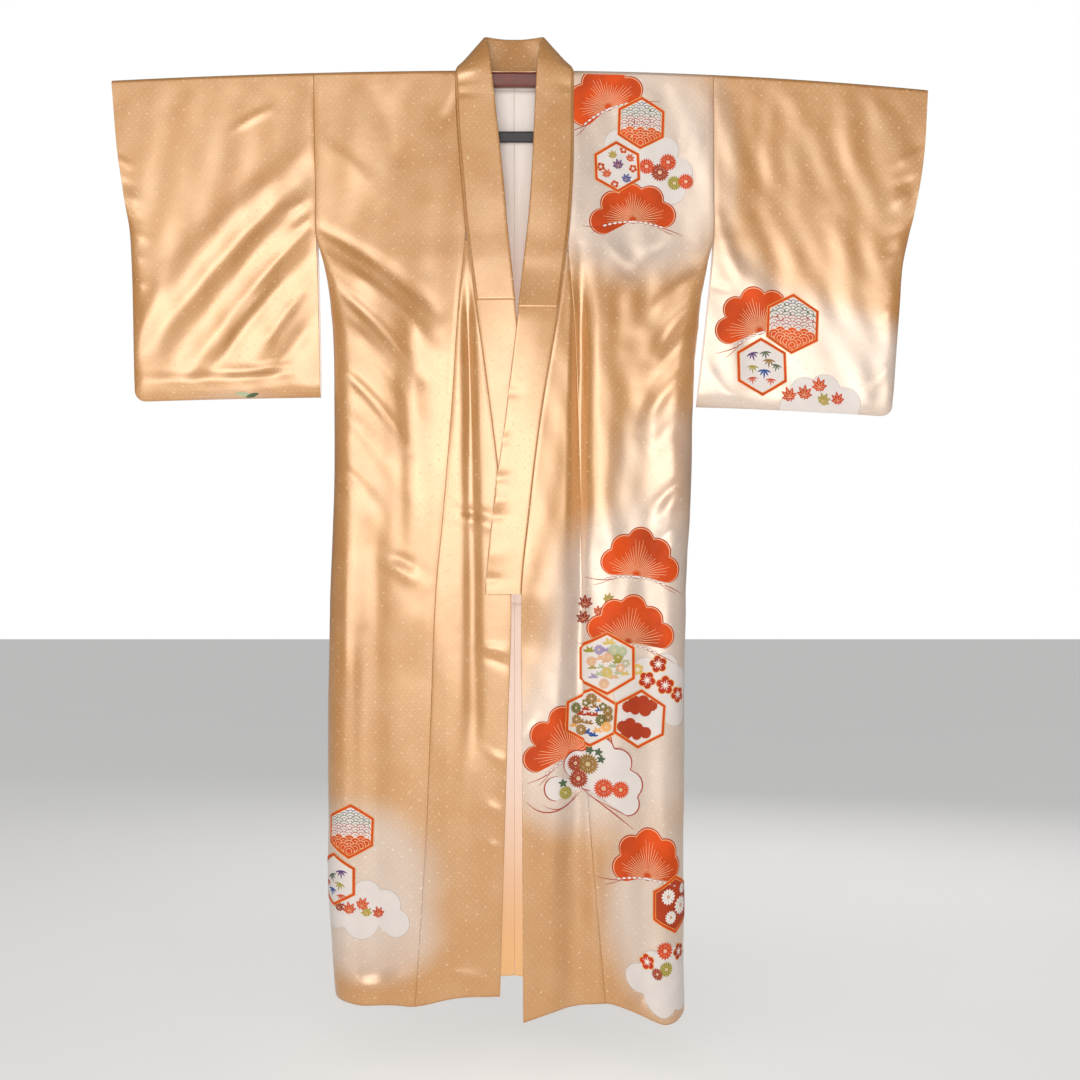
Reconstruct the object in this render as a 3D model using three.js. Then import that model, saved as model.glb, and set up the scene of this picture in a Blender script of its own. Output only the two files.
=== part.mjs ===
// A lined women's kimono of figured satin, hung full width on a bowed rail that runs through both sleeves.
// Millimetres, +Z up, the front faces -Y. The origin is the middle of the rail.
// "left" and "right" are the wearer's: the left half lies at +X and its front laps over the right front.
import * as THREE from "three";

// ---------- driving sizes ----------
const CLOTH = 1.5; // silk with its lining pressed to it
const LINING = 1.2;
const COLLAR = 3; // the folded neckband with its core
const COVER = 1; // the over-collar that wraps the band
const SEAM = 0.3; // gap between two pieces at a seam
const TOP = 8; // the cloth bends over the rail above this height
const HEM = -1455; // the hem's usual height
const HEM_FROM = -1000; // the hem's own rise and fall begins here
const BOW_ENDS = -700; // the rail's bow has faded out of the cloth here
const ARMHOLE = -245; // the sleeve is sewn on from the shoulder down to here
const SLIT_END = -370; // the side is open from the armhole down to here
const LINING_TOP = -14; // just below the rail
const LINING_JOIN = -830; // the body lining ends and the hem lining begins

const RAIL = { length: 1260, height: 24, thickness: 14, corner: 4, dropLeft: 29, dropRight: 16, steps: 12 };
const FOLD_CENTRE = { y: RAIL.thickness / 2 - RAIL.corner, z: RAIL.height / 2 - RAIL.corner };
const FOLD_RADIUS = 5.6; // of the cloth's middle round the rail's edges
const OBI_BAR = { length: 300, height: 17, thickness: 10, corner: 2.5, middle: -90 };
const LINK = { x: 42, width: 10, thickness: 1.3, top: 6 }; // flat straps behind the rail and the lower bar

// Half widths of the two sides of the body, and the radius round which the front turns to the back.
const WIDTHS = [
  { z: 8, left: 315, right: 316.5, corner: 1 },
  { z: -40, left: 315, right: 316, corner: 1 },
  { z: -100, left: 315, right: 315, corner: 1 },
  { z: -180, left: 315, right: 313, corner: 1 },
  { z: -245, left: 314.5, right: 311.5, corner: 1.5 },
  { z: -290, left: 304.5, right: 300, corner: 12 },
  { z: -370, left: 293, right: 288, corner: 24 },
  { z: -470, left: 284, right: 284.5, corner: 30 },
  { z: -640, left: 280, right: 284, corner: 36 },
  { z: -830, left: 271, right: 291, corner: 40 },
  { z: -1050, left: 269, right: 294, corner: 42 },
  { z: -1300, left: 267.5, right: 292, corner: 43 },
  { z: -1460, left: 269, right: 282, corner: 43 },
];
// How far the front and the back hang from the rail's middle plane. At "reach" from the centre, the middle
// depth has faded to the side depth.
const DEPTHS = [
  { z: 8, reach: 140, frontMid: 17, frontSide: 8.6, backMid: 12.5, backSide: 8.6 },
  { z: -40, reach: 150, frontMid: 19, frontSide: 9.5, backMid: 13.5, backSide: 9.2 },
  { z: -100, reach: 180, frontMid: 23, frontSide: 11.5, backMid: 15, backSide: 10.5 },
  { z: -180, reach: 240, frontMid: 29, frontSide: 14, backMid: 18, backSide: 13 },
  { z: -245, reach: 280, frontMid: 34, frontSide: 17, backMid: 21, backSide: 16 },
  { z: -290, reach: 285, frontMid: 39, frontSide: 21, backMid: 24, backSide: 18 },
  { z: -370, reach: 280, frontMid: 45, frontSide: 27, backMid: 28, backSide: 23 },
  { z: -470, reach: 270, frontMid: 50, frontSide: 33, backMid: 31, backSide: 28 },
  { z: -640, reach: 260, frontMid: 54, frontSide: 40, backMid: 35, backSide: 34 },
  { z: -830, reach: 250, frontMid: 58, frontSide: 44, backMid: 38, backSide: 38 },
  { z: -1050, reach: 245, frontMid: 62, frontSide: 47, backMid: 41, backSide: 41 },
  { z: -1300, reach: 245, frontMid: 66, frontSide: 49, backMid: 44, backSide: 43 },
  { z: -1460, reach: 245, frontMid: 69, frontSide: 50, backMid: 46, backSide: 44 },
];
// Where the front's inner edge runs (the neckband's seam, then the free edge), and the overlap panel's seam.
const FRONT = {
  left: [
    { z: 8, edge: 94.6, overlap: 94.6 },
    { z: -113, edge: 94, overlap: 94 },
    { z: -194, edge: 91, overlap: 91 },
    { z: -259, edge: 85, overlap: 85 },
    { z: -378, edge: 69.3, overlap: 94.5 },
    { z: -539, edge: 42.6, overlap: 101 },
    { z: -700, edge: 23, overlap: 105 },
    { z: -813, edge: 12.4, overlap: 107 },
    { z: -1047, edge: 13, overlap: 111 },
    { z: -1200, edge: 13.7, overlap: 121 },
    { z: -1460, edge: 15, overlap: 144 },
  ],
  right: [
    { z: 8, edge: 93, overlap: 93 },
    { z: -74, edge: 89.6, overlap: 89.6 },
    { z: -181, edge: 80.8, overlap: 80.8 },
    { z: -241, edge: 75.4, overlap: 75.4 },
    { z: -365, edge: 59, overlap: 86.5 },
    { z: -540, edge: 35, overlap: 98 },
    { z: -700, edge: 16, overlap: 111 },
    { z: -813, edge: 4, overlap: 121.5 },
    { z: -1019, edge: 9, overlap: 129.6 },
    { z: -1200, edge: 14, overlap: 137 },
    { z: -1460, edge: 21, overlap: 154 },
  ],
};
// The hem's rise above HEM, at stops across the overlap panel (0 to 1), the front (1 to 2) and the back
// (2 to 3).
const HEM_RISE = [
  { stop: 0, left: -22, right: 19 },
  { stop: 0.5, left: -2, right: 15 },
  { stop: 1, left: 5, right: 0 },
  { stop: 1.2, left: -4, right: 1 },
  { stop: 1.5, left: -25, right: -1 },
  { stop: 1.65, left: -31, right: 2 },
  { stop: 2, left: -15, right: 10 },
  { stop: 3, left: 26, right: 26 },
];
// Long soft folds. "deep" above 0 sinks the cloth towards the rail's plane, below 0 raises it.
const FOLDS = {
  frontLeft: [
    { top: -290, foot: -1460, xTop: 104, xFoot: 95, wideTop: 10, wideFoot: 22, deepTop: 13, deepFoot: 10 },
    { top: -300, foot: -1200, xTop: 142, xFoot: 152, wideTop: 18, wideFoot: 24, deepTop: -5, deepFoot: -4 },
    { top: -420, foot: -1460, xTop: 222, xFoot: 205, wideTop: 22, wideFoot: 24, deepTop: 4, deepFoot: 6 },
  ],
  frontRight: [
    { top: -290, foot: -1100, xTop: 72, xFoot: 60, wideTop: 9, wideFoot: 15, deepTop: 8, deepFoot: 6 },
    { top: -300, foot: -950, xTop: 152, xFoot: 165, wideTop: 28, wideFoot: 32, deepTop: -7, deepFoot: -5 },
    { top: -640, foot: -1460, xTop: 226, xFoot: 218, wideTop: 22, wideFoot: 26, deepTop: 5, deepFoot: 7 },
  ],
  backLeft: [
    { top: -160, foot: -1460, xTop: 70, xFoot: 78, wideTop: 20, wideFoot: 27, deepTop: 7, deepFoot: 15 },
    { top: -220, foot: -1460, xTop: 150, xFoot: 146, wideTop: 22, wideFoot: 27, deepTop: -6, deepFoot: -12 },
  ],
  backRight: [
    { top: -130, foot: -1460, xTop: 84, xFoot: 90, wideTop: 22, wideFoot: 28, deepTop: -6, deepFoot: -14 },
    { top: -240, foot: -1460, xTop: 168, xFoot: 160, wideTop: 22, wideFoot: 27, deepTop: 6, deepFoot: 13 },
  ],
};
const FOLD_FADE = 110; // a fold grows to its full depth over this length
const CENTRE_FADE = 40; // the back's folds fade out this close to its centre seam
// Where the left front is held off the right front that it laps over.
const LAP = { lift: 9, reach: 120, top: -300, foot: -900, fade: 90 };

// The sleeves below the armhole seam: their inner and outer edges from the centre.
const SLEEVE = { length: 512, wristOpening: 230, closing: 45, bag: 8.6, taper: 0.35, bagFrom: 0.4 };
const SLEEVE_ROUND = { cuff: 0.93, foot: 0.95, corner: 18, cornerFrom: 0.94, cornerDown: 0.9 };
// Stops from the armhole to the cuff, and from the rail to the foot.
const SLEEVE_ACROSS = [0, 0.18, 0.35, 0.53, 0.7, 0.88, 0.965, 1];
const SLEEVE_DOWN = [0, 0.13, 0.25, 0.37, 0.494, 0.62, 0.75, 0.87, 0.975, 1];
const SLEEVE_EDGES = {
  left: [
    { down: 0, inner: 315, outer: 654 },
    { down: 100, inner: 315, outer: 648 },
    { down: 165, inner: 315, outer: 638 },
    { down: 230, inner: 315, outer: 624 },
    { down: 275, inner: 314, outer: 615 },
    { down: 330, inner: 309, outer: 611 },
    { down: 440, inner: 297, outer: 603 },
    { down: 540, inner: 285, outer: 597 },
  ],
  right: [
    { down: 0, inner: 316.5, outer: 636 },
    { down: 100, inner: 315, outer: 628 },
    { down: 165, inner: 313.5, outer: 619 },
    { down: 230, inner: 312, outer: 609 },
    { down: 275, inner: 311, outer: 606 },
    { down: 330, inner: 309.5, outer: 604 },
    { down: 440, inner: 307, outer: 602 },
    { down: 540, inner: 306, outer: 600 },
  ],
};
const SLEEVE_FOOT_RISE = { left: { inner: -8, outer: -3 }, right: { inner: 5, outer: 9 } };

// The neckband's two edges at stations over the shoulder, from the front to the middle of the back.
const BAND_TOP = [
  { seamX: 94.3, seamY: -10.7, seamZ: 6, freeX: 38, freeY: -15, freeZ: 20 },
  { seamX: 93.8, seamY: -7.8, seamZ: 14, freeX: 40, freeY: -11.5, freeZ: 40 },
  { seamX: 91.4, seamY: 0, seamZ: 18, freeX: 43, freeY: -4, freeZ: 58 },
  { seamX: 86, seamY: 7, seamZ: 17, freeX: 46, freeY: 4, freeZ: 67 },
  { seamX: 66, seamY: 11, seamZ: 13.5, freeX: 33, freeY: 13, freeZ: 67.5 },
  { seamX: 34, seamY: 12.8, seamZ: 11.5, freeX: 17, freeY: 19, freeZ: 67 },
  { seamX: 0, seamY: 13, seamZ: 11, freeX: 0, freeY: 21, freeZ: 67 },
];
const BAND_SHIFT = { left: 0, right: -1.4 };
// Its width down the two fronts, where it lies in the front's own surface.
const BAND_FRONT = {
  left: [
    { z: 8, wide: 57 },
    { z: -113, wide: 62 },
    { z: -250, wide: 64 },
    { z: -378, wide: 61.5 },
    { z: -540, wide: 54 },
    { z: -640, wide: 55.5 },
    { z: -813, wide: 55 },
  ],
  right: [
    { z: 8, wide: 57 },
    { z: -113, wide: 63 },
    { z: -250, wide: 63.5 },
    { z: -378, wide: 60 },
    { z: -540, wide: 56 },
    { z: -640, wide: 56 },
    { z: -813, wide: 56 },
  ],
};
const BAND_PARTS = [0, 1 / 3, 2 / 3, 1]; // stops across it, from its free edge to its seam
const BAND_FOOT = -813;
const COVER_END = -370; // the over-collar's lower ends
const COVER_GAP = 0.6; // between the band and its cover
const COVER_INSET = 0.1; // of the band's last third, from its seam
const NAPE_BELOW = 1.2; // the back panel's top edge below the middle of the band's seam
const TIP_BELOW = 16; // the overlap panel's tip below the point where its two seams meet

// Heights of the body's rows of points, between the shoulder and the hem.
const BODY_LEVELS = [
  ...[TOP, -40, -100, -175, ARMHOLE, -300, -335, SLIT_END, -450],
  ...[-550, -660, -780, LINING_JOIN, -940, -1080, -1220, -1350, HEM],
];
const PANEL_COLUMNS = 10;
const LINED_COLUMNS = 7; // of those on the back, from the neck, that the lining covers
const NECK_COLUMNS = 4; // of the back panel, from the centre seam to below the neckband
const OVERLAP_COLUMNS = 5;

// ---------- small helpers ----------
const mix = (a, b, t) => a + (b - a) * t;
const clamp01 = (t) => Math.min(1, Math.max(0, t));
const smooth = (t) => clamp01(t) ** 2 * (3 - 2 * clamp01(t));

// A column of a table, read smoothly between its rows, which run in order of the key column.
function read(table, key, at, column) {
  const falling = table[0][key] > table[table.length - 1][key];
  const before = (row) => (falling ? row[key] >= at : row[key] <= at);
  const after = table.findIndex((row) => !before(row));
  if (after === 0) return table[0][column];
  if (after < 0) return table[table.length - 1][column];
  const slope = (i) => {
    const a = table[Math.max(0, i - 1)];
    const b = table[Math.min(table.length - 1, i + 1)];
    return (b[column] - a[column]) / (b[key] - a[key]);
  };
  const [a, b] = [table[after - 1], table[after]];
  const span = b[key] - a[key];
  const t = (at - a[key]) / span;
  const [t2, t3] = [t * t, t * t * t];
  return (
    (2 * t3 - 3 * t2 + 1) * a[column] +
    (t3 - 2 * t2 + t) * span * slope(after - 1) +
    (3 * t2 - 2 * t3) * b[column] +
    (t3 - t2) * span * slope(after)
  );
}

// n + 1 points evenly spaced along a polyline of [x, y] points.
function spaced(line, n) {
  const along = [0];
  for (let i = 1; i < line.length; i++) {
    along.push(along[i - 1] + Math.hypot(line[i][0] - line[i - 1][0], line[i][1] - line[i - 1][1]));
  }
  const points = [];
  let i = 1;
  for (let k = 0; k <= n; k++) {
    const at = (along[along.length - 1] * k) / n;
    while (i < line.length - 1 && along[i] < at) i++;
    const t = clamp01((at - along[i - 1]) / (along[i] - along[i - 1]));
    points.push([mix(line[i - 1][0], line[i][0], t), mix(line[i - 1][1], line[i][1], t)]);
  }
  return points;
}

// ---------- walls of cloth ----------
// A patch is rows of points of the cloth's middle surface. On the front, seen from outside, a row runs to the
// right and the next row lies above it. Patches are welded where their points meet.
function weld(patches) {
  const points = [];
  const seen = new Map();
  const indexOf = (p) => {
    const key = [p.x, p.y, p.z].map((v) => Math.round(v * 100)).join();
    if (!seen.has(key)) seen.set(key, points.push(p) - 1);
    return seen.get(key);
  };
  const grids = patches.map((rows) => rows.map((row) => row.map(indexOf)));
  const triangles = [];
  for (const grid of grids) {
    for (let i = 0; i + 1 < grid.length; i++) {
      for (let j = 0; j + 1 < grid[i].length; j++) {
        const [a, b, c, d] = [grid[i][j], grid[i][j + 1], grid[i + 1][j + 1], grid[i + 1][j]];
        const upright = points[a].distanceToSquared(points[c]) < points[b].distanceToSquared(points[d]);
        triangles.push(...(upright ? [[a, b, c], [a, c, d]] : [[a, b, d], [b, c, d]]));
      }
    }
  }
  const whole = triangles.filter(([a, b, c]) => a !== b && b !== c && c !== a);
  return { points, triangles: whole, grids };
}

// Gives each point of the patches the normal of the surface that they make together.
function dressed(patches) {
  const { points, triangles, grids } = weld(patches);
  const normals = points.map(() => new THREE.Vector3());
  for (const [a, b, c] of triangles) {
    const ab = new THREE.Vector3().subVectors(points[b], points[a]);
    const face = ab.cross(new THREE.Vector3().subVectors(points[c], points[a]));
    for (const k of [a, b, c]) normals[k].add(face);
  }
  normals.forEach((n) => n.normalize());
  return grids.map((grid) => grid.map((row) => row.map((k) => ({ point: points[k], normal: normals[k] }))));
}

const raised = ({ point, normal }, distance) => point.clone().addScaledVector(normal, distance);

// A closed wall of even thickness round dressed patches, its middle raised off them.
function wall(patches, thickness, offset = 0) {
  const flat = patches.flat(2);
  const { points, triangles } = weld(patches.map((rows) => rows.map((row) => row.map((v) => v.point))));
  const owner = new Map(flat.map((v) => [v.point, v]));
  const positions = [];
  for (const side of [0.5, -0.5]) {
    for (const p of points) positions.push(...raised(owner.get(p), offset + side * thickness).toArray());
  }
  const edges = new Map();
  const index = [];
  const count = points.length;
  for (const [a, b, c] of triangles) {
    index.push(a, b, c, a + count, c + count, b + count);
    for (const [p, q] of [[a, b], [b, c], [c, a]]) edges.set(`${p},${q}`, [p, q]);
  }
  for (const [p, q] of edges.values()) {
    if (!edges.has(`${q},${p}`)) index.push(q, p, p + count, q, p + count, q + count);
  }
  const geometry = new THREE.BufferGeometry();
  geometry.setAttribute("position", new THREE.Float32BufferAttribute(positions, 3));
  geometry.setIndex(index);
  geometry.computeVertexNormals();
  return geometry;
}

// A dressed point slid towards its neighbour.
function slid(from, towards, distance) {
  const step = new THREE.Vector3().subVectors(towards.point, from.point);
  return { point: from.point.clone().add(step.setLength(distance)), normal: from.normal };
}

// A dressed row part of the way from one row to another.
function between(rowA, rowB, t) {
  return rowA.map((v, j) => ({ point: v.point.clone().lerp(rowB[j].point, t), normal: v.normal }));
}

// A dressed patch drawn in by half a seam's gap along its first or last column.
const seamFirst = (patch) => patch.map((row) => [slid(row[0], row[1], SEAM / 2), ...row.slice(1)]);
const seamLast = (patch) => patch.map((row) => [...row.slice(0, -1), slid(row.at(-1), row.at(-2), SEAM / 2)]);

// The left half's points, or their mirror image for the right half, with each row turned to run the same way.
function toSide(side, patch) {
  if (side === "left") return patch;
  return patch.map((row) => row.map((p) => new THREE.Vector3(-p.x, p.y, p.z)).reverse());
}

// ---------- the cloth's shape ----------
const railDrop = (side, x) => {
  const drop = side === "left" ? RAIL.dropLeft : RAIL.dropRight;
  return -drop * (x / (RAIL.length / 2)) ** 2;
};

const halfWidth = (side, z) => read(WIDTHS, "z", z, side);
const depthAt = (z, column) => read(DEPTHS, "z", z, column);
const bowAt = (side, x, z) => railDrop(side, x) * smooth((z - BOW_ENDS) / -BOW_ENDS);

// How far a set of folds sinks the cloth at one place.
function folded(folds, x, z) {
  let sum = 0;
  for (const f of folds) {
    const t = clamp01((z - f.top) / (f.foot - f.top));
    const grown = smooth((f.top - z) / FOLD_FADE) * (f.foot > HEM ? smooth((z - f.foot) / FOLD_FADE) : 1);
    const across = (x - mix(f.xTop, f.xFoot, t)) / mix(f.wideTop, f.wideFoot, t);
    sum += grown * mix(f.deepTop, f.deepFoot, t) * Math.exp(-across * across);
  }
  return sum;
}

function frontY(side, x, z) {
  const fade = smooth(Math.abs(x) / depthAt(z, "reach"));
  const depth = mix(depthAt(z, "frontMid"), depthAt(z, "frontSide"), fade);
  const folds = side === "left" ? FOLDS.frontLeft : FOLDS.frontRight;
  const lapped = smooth((LAP.top - z) / LAP.fade) * smooth((z - LAP.foot) / LAP.fade);
  const lift = side === "left" ? LAP.lift * lapped * (1 - smooth(Math.abs(x) / LAP.reach)) : 0;
  return -depth - lift + folded(folds, x, z);
}

function backY(side, x, z) {
  const fade = smooth(x / depthAt(z, "reach"));
  const depth = mix(depthAt(z, "backMid"), depthAt(z, "backSide"), fade);
  const folds = side === "left" ? FOLDS.backLeft : FOLDS.backRight;
  return depth - folded(folds, x, z) * smooth(x / CENTRE_FADE);
}

const SECTION_STEPS = 80;

// A level line across one face of the cloth, between two distances from the centre.
function faceLine(side, z, from, to, depth) {
  return Array.from({ length: SECTION_STEPS + 1 }, (_, k) => {
    const x = mix(from, to, k / SECTION_STEPS);
    return [x, depth(side, x, z)];
  });
}

// The level section of one face from its inner seam to the side, where it turns through a quarter round and,
// below the slit, meets the other face.
function section(side, z, from, depth, otherDepth) {
  const corner = read(WIDTHS, "z", z, "corner");
  const turn = halfWidth(side, z) - corner - SEAM / 2;
  const closed = smooth((ARMHOLE - z) / (ARMHOLE - SLIT_END));
  const [here, across] = [depth(side, turn, z), otherDepth(side, turn, z)];
  const line = faceLine(side, z, from, turn, depth);
  for (let k = 1; k <= SECTION_STEPS / 4; k++) {
    const angle = ((Math.PI / 2) * k) / (SECTION_STEPS / 4);
    line.push([turn + corner * Math.sin(angle), mix(here, across, (closed * (1 - Math.cos(angle))) / 2)]);
  }
  return line;
}

// A level row of [x, y] points lifted to its place: it follows the rail at the top and the hem at the foot.
function placed(side, z, row, stopFrom, stopTo) {
  return row.map(([x, y], j) => {
    const rise = read(HEM_RISE, "stop", mix(stopFrom, stopTo, j / (row.length - 1)), side);
    const hemmed = rise * clamp01((z - HEM_FROM) / (HEM - HEM_FROM)) ** 2;
    return new THREE.Vector3(x, y, z + bowAt(side, x, z) + hemmed);
  });
}

// Rows of points over the rail, from the front to the back, above a row's own x positions.
function overRail(row) {
  const quarter = [0, 0.5, 1].map((t) => (t * Math.PI) / 2);
  const front = quarter.map((a) => [-FOLD_CENTRE.y - FOLD_RADIUS * Math.cos(a), FOLD_RADIUS * Math.sin(a)]);
  const back = front.map(([y, z]) => [-y, z]).reverse();
  const arc = [...front.slice(1), ...back.slice(0, -1)];
  return arc.map(([y, z]) => row.map((p) => new THREE.Vector3(p.x, y, p.z + z)));
}

const frontEdge = (side, z) => read(FRONT[side], "z", z, "edge");
const meetLevel = (side) => FRONT[side].findLast((row) => row.edge === row.overlap).z;
const tipLevel = (side) => meetLevel(side) - TIP_BELOW;
const neckColumn = (side) => frontEdge(side, TOP) + SEAM / 2;

// The seam of the front with its overlap panel, and above that panel the front's own edge at the neckband.
function overlapSeam(side, z) {
  return z > meetLevel(side) ? frontEdge(side, z) : read(FRONT[side], "z", z, "overlap");
}

const levelsOf = (side) => [...BODY_LEVELS, tipLevel(side)].sort((a, b) => b - a);

// One side of the body: up the front from the hem, over the rail and down the back. Below the slit, the side
// seam's two edges meet.
function bodyPatches(side) {
  const neck = neckColumn(side);
  const levels = levelsOf(side);
  const split = 2 + PANEL_COLUMNS / (NECK_COLUMNS + PANEL_COLUMNS); // the neck's stop on the back's hem
  const front = levels.map((z) => {
    const from = z === TOP ? neck : overlapSeam(side, z);
    return placed(side, z, spaced(section(side, z, from, frontY, backY), PANEL_COLUMNS), 1, 2);
  });
  const back = levels.map((z) => {
    return placed(side, z, spaced(section(side, z, neck, backY, frontY), PANEL_COLUMNS), split, 2);
  });
  const inner = levels.map((z) => {
    const line = faceLine(side, z, SEAM / 2, neck, backY);
    return placed(side, z, spaced(line, NECK_COLUMNS), 3, split);
  });
  const arc = overRail(front[0]);
  const [frontArc, backArc] = [arc.slice(0, arc.length / 2), arc.slice(arc.length / 2)];
  const shell = [...front.reverse(), ...frontArc, ...backArc, ...back];
  const shoulder = front.length + frontArc.length; // the first of the shell's rows that belongs to the back
  return { shell, shoulder, back, inner, aboveInner: nape(inner[0], backArc) };
}

// The rows of the back panel from the rail's height up to the neckband's seam.
function nape(row, arc) {
  return arc.map((arcRow, k) =>
    row.map((p, j) => {
      if (j === row.length - 1) return arcRow[0];
      const y = read(BAND_TOP, "seamX", p.x, "seamY");
      const z = read(BAND_TOP, "seamX", p.x, "seamZ") - NAPE_BELOW;
      return p.clone().lerp(new THREE.Vector3(p.x, y, z), 1 - k / arc.length);
    }),
  );
}

// The overlap panel, from the neckband's seam or the free edge to its seam with the front.
function overlapPatch(side) {
  const levels = levelsOf(side).filter((z) => z <= tipLevel(side));
  const rows = levels.map((z) => {
    const line = faceLine(side, z, frontEdge(side, z), overlapSeam(side, z), frontY);
    return placed(side, z, spaced(line, OVERLAP_COLUMNS), 0, 1);
  });
  return rows.reverse();
}

// The neckband's rows for one half, each from its free edge to its seam. They run from the band's lower end
// to the middle of the back.
function bandHalf(side) {
  const levels = [...levelsOf(side).filter((z) => z < 0 && z > BAND_FOOT), BAND_FOOT];
  const front = levels.reverse().map((z) => {
    const seam = frontEdge(side, z) - SEAM;
    const free = seam - read(BAND_FRONT[side], "z", z, "wide");
    return BAND_PARTS.map((t) => {
      const x = mix(free, seam, t);
      return new THREE.Vector3(x, frontY(side, x, z), z + bowAt(side, x, z));
    });
  });
  const top = BAND_TOP.map((s) => {
    const seam = new THREE.Vector3(s.seamX + (s.seamX > 0 ? BAND_SHIFT[side] : 0), s.seamY, s.seamZ);
    const free = new THREE.Vector3(s.freeX, s.freeY, s.freeZ);
    return BAND_PARTS.map((t) => free.clone().lerp(seam, t));
  });
  return [...front, ...top];
}

function bandPatch() {
  const mirrored = bandHalf("right").map((row) => row.map((p) => new THREE.Vector3(-p.x, p.y, p.z)));
  return [...bandHalf("left"), ...mirrored.reverse().slice(1)];
}

// The over-collar wraps the band: down its inner face, round the free edge and up its outer face.
function coverPatch(band) {
  const covered = band.filter((row) => row.at(-1).z >= COVER_END + railDrop("left", row.at(-1).x));
  const insetRow = (row) => [...row.slice(0, -1), row.at(-1).clone().lerp(row.at(-2), COVER_INSET)];
  const [inset] = dressed([covered.map(insetRow)]);
  const apart = COLLAR / 2 + COVER_GAP + COVER / 2;
  return inset.map((row) => {
    const [free, next] = [row[0].point, row[1].point];
    const edge = free.clone().add(new THREE.Vector3().subVectors(free, next).setLength(apart));
    return [...row.map((v) => raised(v, -apart)).reverse(), edge, ...row.map((v) => raised(v, apart))];
  });
}

// ---------- sleeves ----------
const quarterRound = (t) => Math.sqrt(1 - clamp01(t) ** 2);

// A point of a sleeve's front (sign -1) or back (sign 1) at stops across it and down it. The two faces meet
// at the foot and, below the wrist opening, at the cuff.
function sleevePoint(side, sign, across, down) {
  const fallen = down * SLEEVE.length;
  const z = TOP - fallen;
  const edge = (column) => read(SLEEVE_EDGES[side], "down", fallen, column);
  const inner = z >= ARMHOLE ? halfWidth(side, z) + SEAM / 2 : edge("inner");
  const x = mix(inner, edge("outer"), across);
  const atBody = depthAt(Math.max(z, ARMHOLE), sign < 0 ? "frontSide" : "backSide");
  const depth = mix(atBody, SLEEVE.bag, smooth(across / SLEEVE.bagFrom)) * (1 - SLEEVE.taper * down);
  const closed = smooth((fallen - SLEEVE.wristOpening) / SLEEVE.closing + 1);
  const nearCuff = quarterRound((across - SLEEVE_ROUND.cuff) / (1 - SLEEVE_ROUND.cuff));
  const nearFoot = quarterRound((down - SLEEVE_ROUND.foot) / (1 - SLEEVE_ROUND.foot));
  const y = down === 0 ? FOLD_CENTRE.y + FOLD_RADIUS : depth * nearFoot * mix(1, nearCuff, closed);
  const rise = mix(SLEEVE_FOOT_RISE[side].inner, SLEEVE_FOOT_RISE[side].outer, across) * down * down;
  const turned = 1 - quarterRound((across - SLEEVE_ROUND.cornerFrom) / (1 - SLEEVE_ROUND.cornerFrom));
  const cornered = SLEEVE_ROUND.corner * turned * smooth((down - SLEEVE_ROUND.cornerDown) / 0.1);
  return new THREE.Vector3(x, sign * y, z + railDrop(side, x) + rise + cornered);
}

function sleevePatch(side) {
  const row = (sign, down) => SLEEVE_ACROSS.map((across) => sleevePoint(side, sign, across, down));
  const face = (sign) => SLEEVE_DOWN.map((down) => row(sign, down));
  const front = face(-1);
  return [...front.toReversed(), ...overRail(front[0]), ...face(1)];
}

// ---------- the hanger ----------
function railGeometry() {
  const half = RAIL.length / 2;
  const xs = Array.from({ length: RAIL.steps + 1 }, (_, i) => mix(-half, half, i / RAIL.steps));
  const drop = (x) => railDrop(x > 0 ? "left" : "right", x);
  const top = xs.map((x) => new THREE.Vector2(x, drop(x) + RAIL.height / 2));
  const foot = xs.map((x) => new THREE.Vector2(x, drop(x) - RAIL.height / 2)).reverse();
  return new THREE.ExtrudeGeometry(new THREE.Shape([...foot, ...top]), {
    depth: RAIL.thickness - 2 * RAIL.corner,
    bevelEnabled: true,
    bevelSize: RAIL.corner,
    bevelThickness: RAIL.corner,
    bevelOffset: -RAIL.corner,
    bevelSegments: 2,
  }).translate(0, 0, RAIL.corner - RAIL.thickness / 2);
}

// The lower bar, a rounded rectangle in section, flush with the rail's back.
function obiBarGeometry() {
  const { length, height, thickness, corner } = OBI_BAR;
  const [w, h] = [thickness / 2 - corner, height / 2 - corner];
  const section = new THREE.Shape();
  section.absarc(w, h, corner, 0, Math.PI / 2);
  section.absarc(-w, h, corner, Math.PI / 2, Math.PI);
  section.absarc(-w, -h, corner, Math.PI, 1.5 * Math.PI);
  section.absarc(w, -h, corner, 1.5 * Math.PI, 2 * Math.PI);
  return new THREE.ExtrudeGeometry(section, { depth: length, bevelEnabled: false, curveSegments: 2 });
}

// ---------- materials ----------
const material = (color, roughness) => new THREE.MeshStandardMaterial({ color, roughness, metalness: 0 });
const satin = material(0xd9a866, 0.38);
const whiteSilk = material(0xf0e2dc, 0.6);
const hemSilk = material(0xe6bd8a, 0.6);
const lacquer = material(0x6b2a1e, 0.35);
const blackPlastic = material(0x1c1a1e, 0.45);

// ---------- assembly ----------
const kimono = new THREE.Group();

function add(name, geometry, finish) {
  const mesh = new THREE.Mesh(geometry, finish);
  mesh.name = name;
  kimono.add(mesh);
  return mesh;
}

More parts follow.
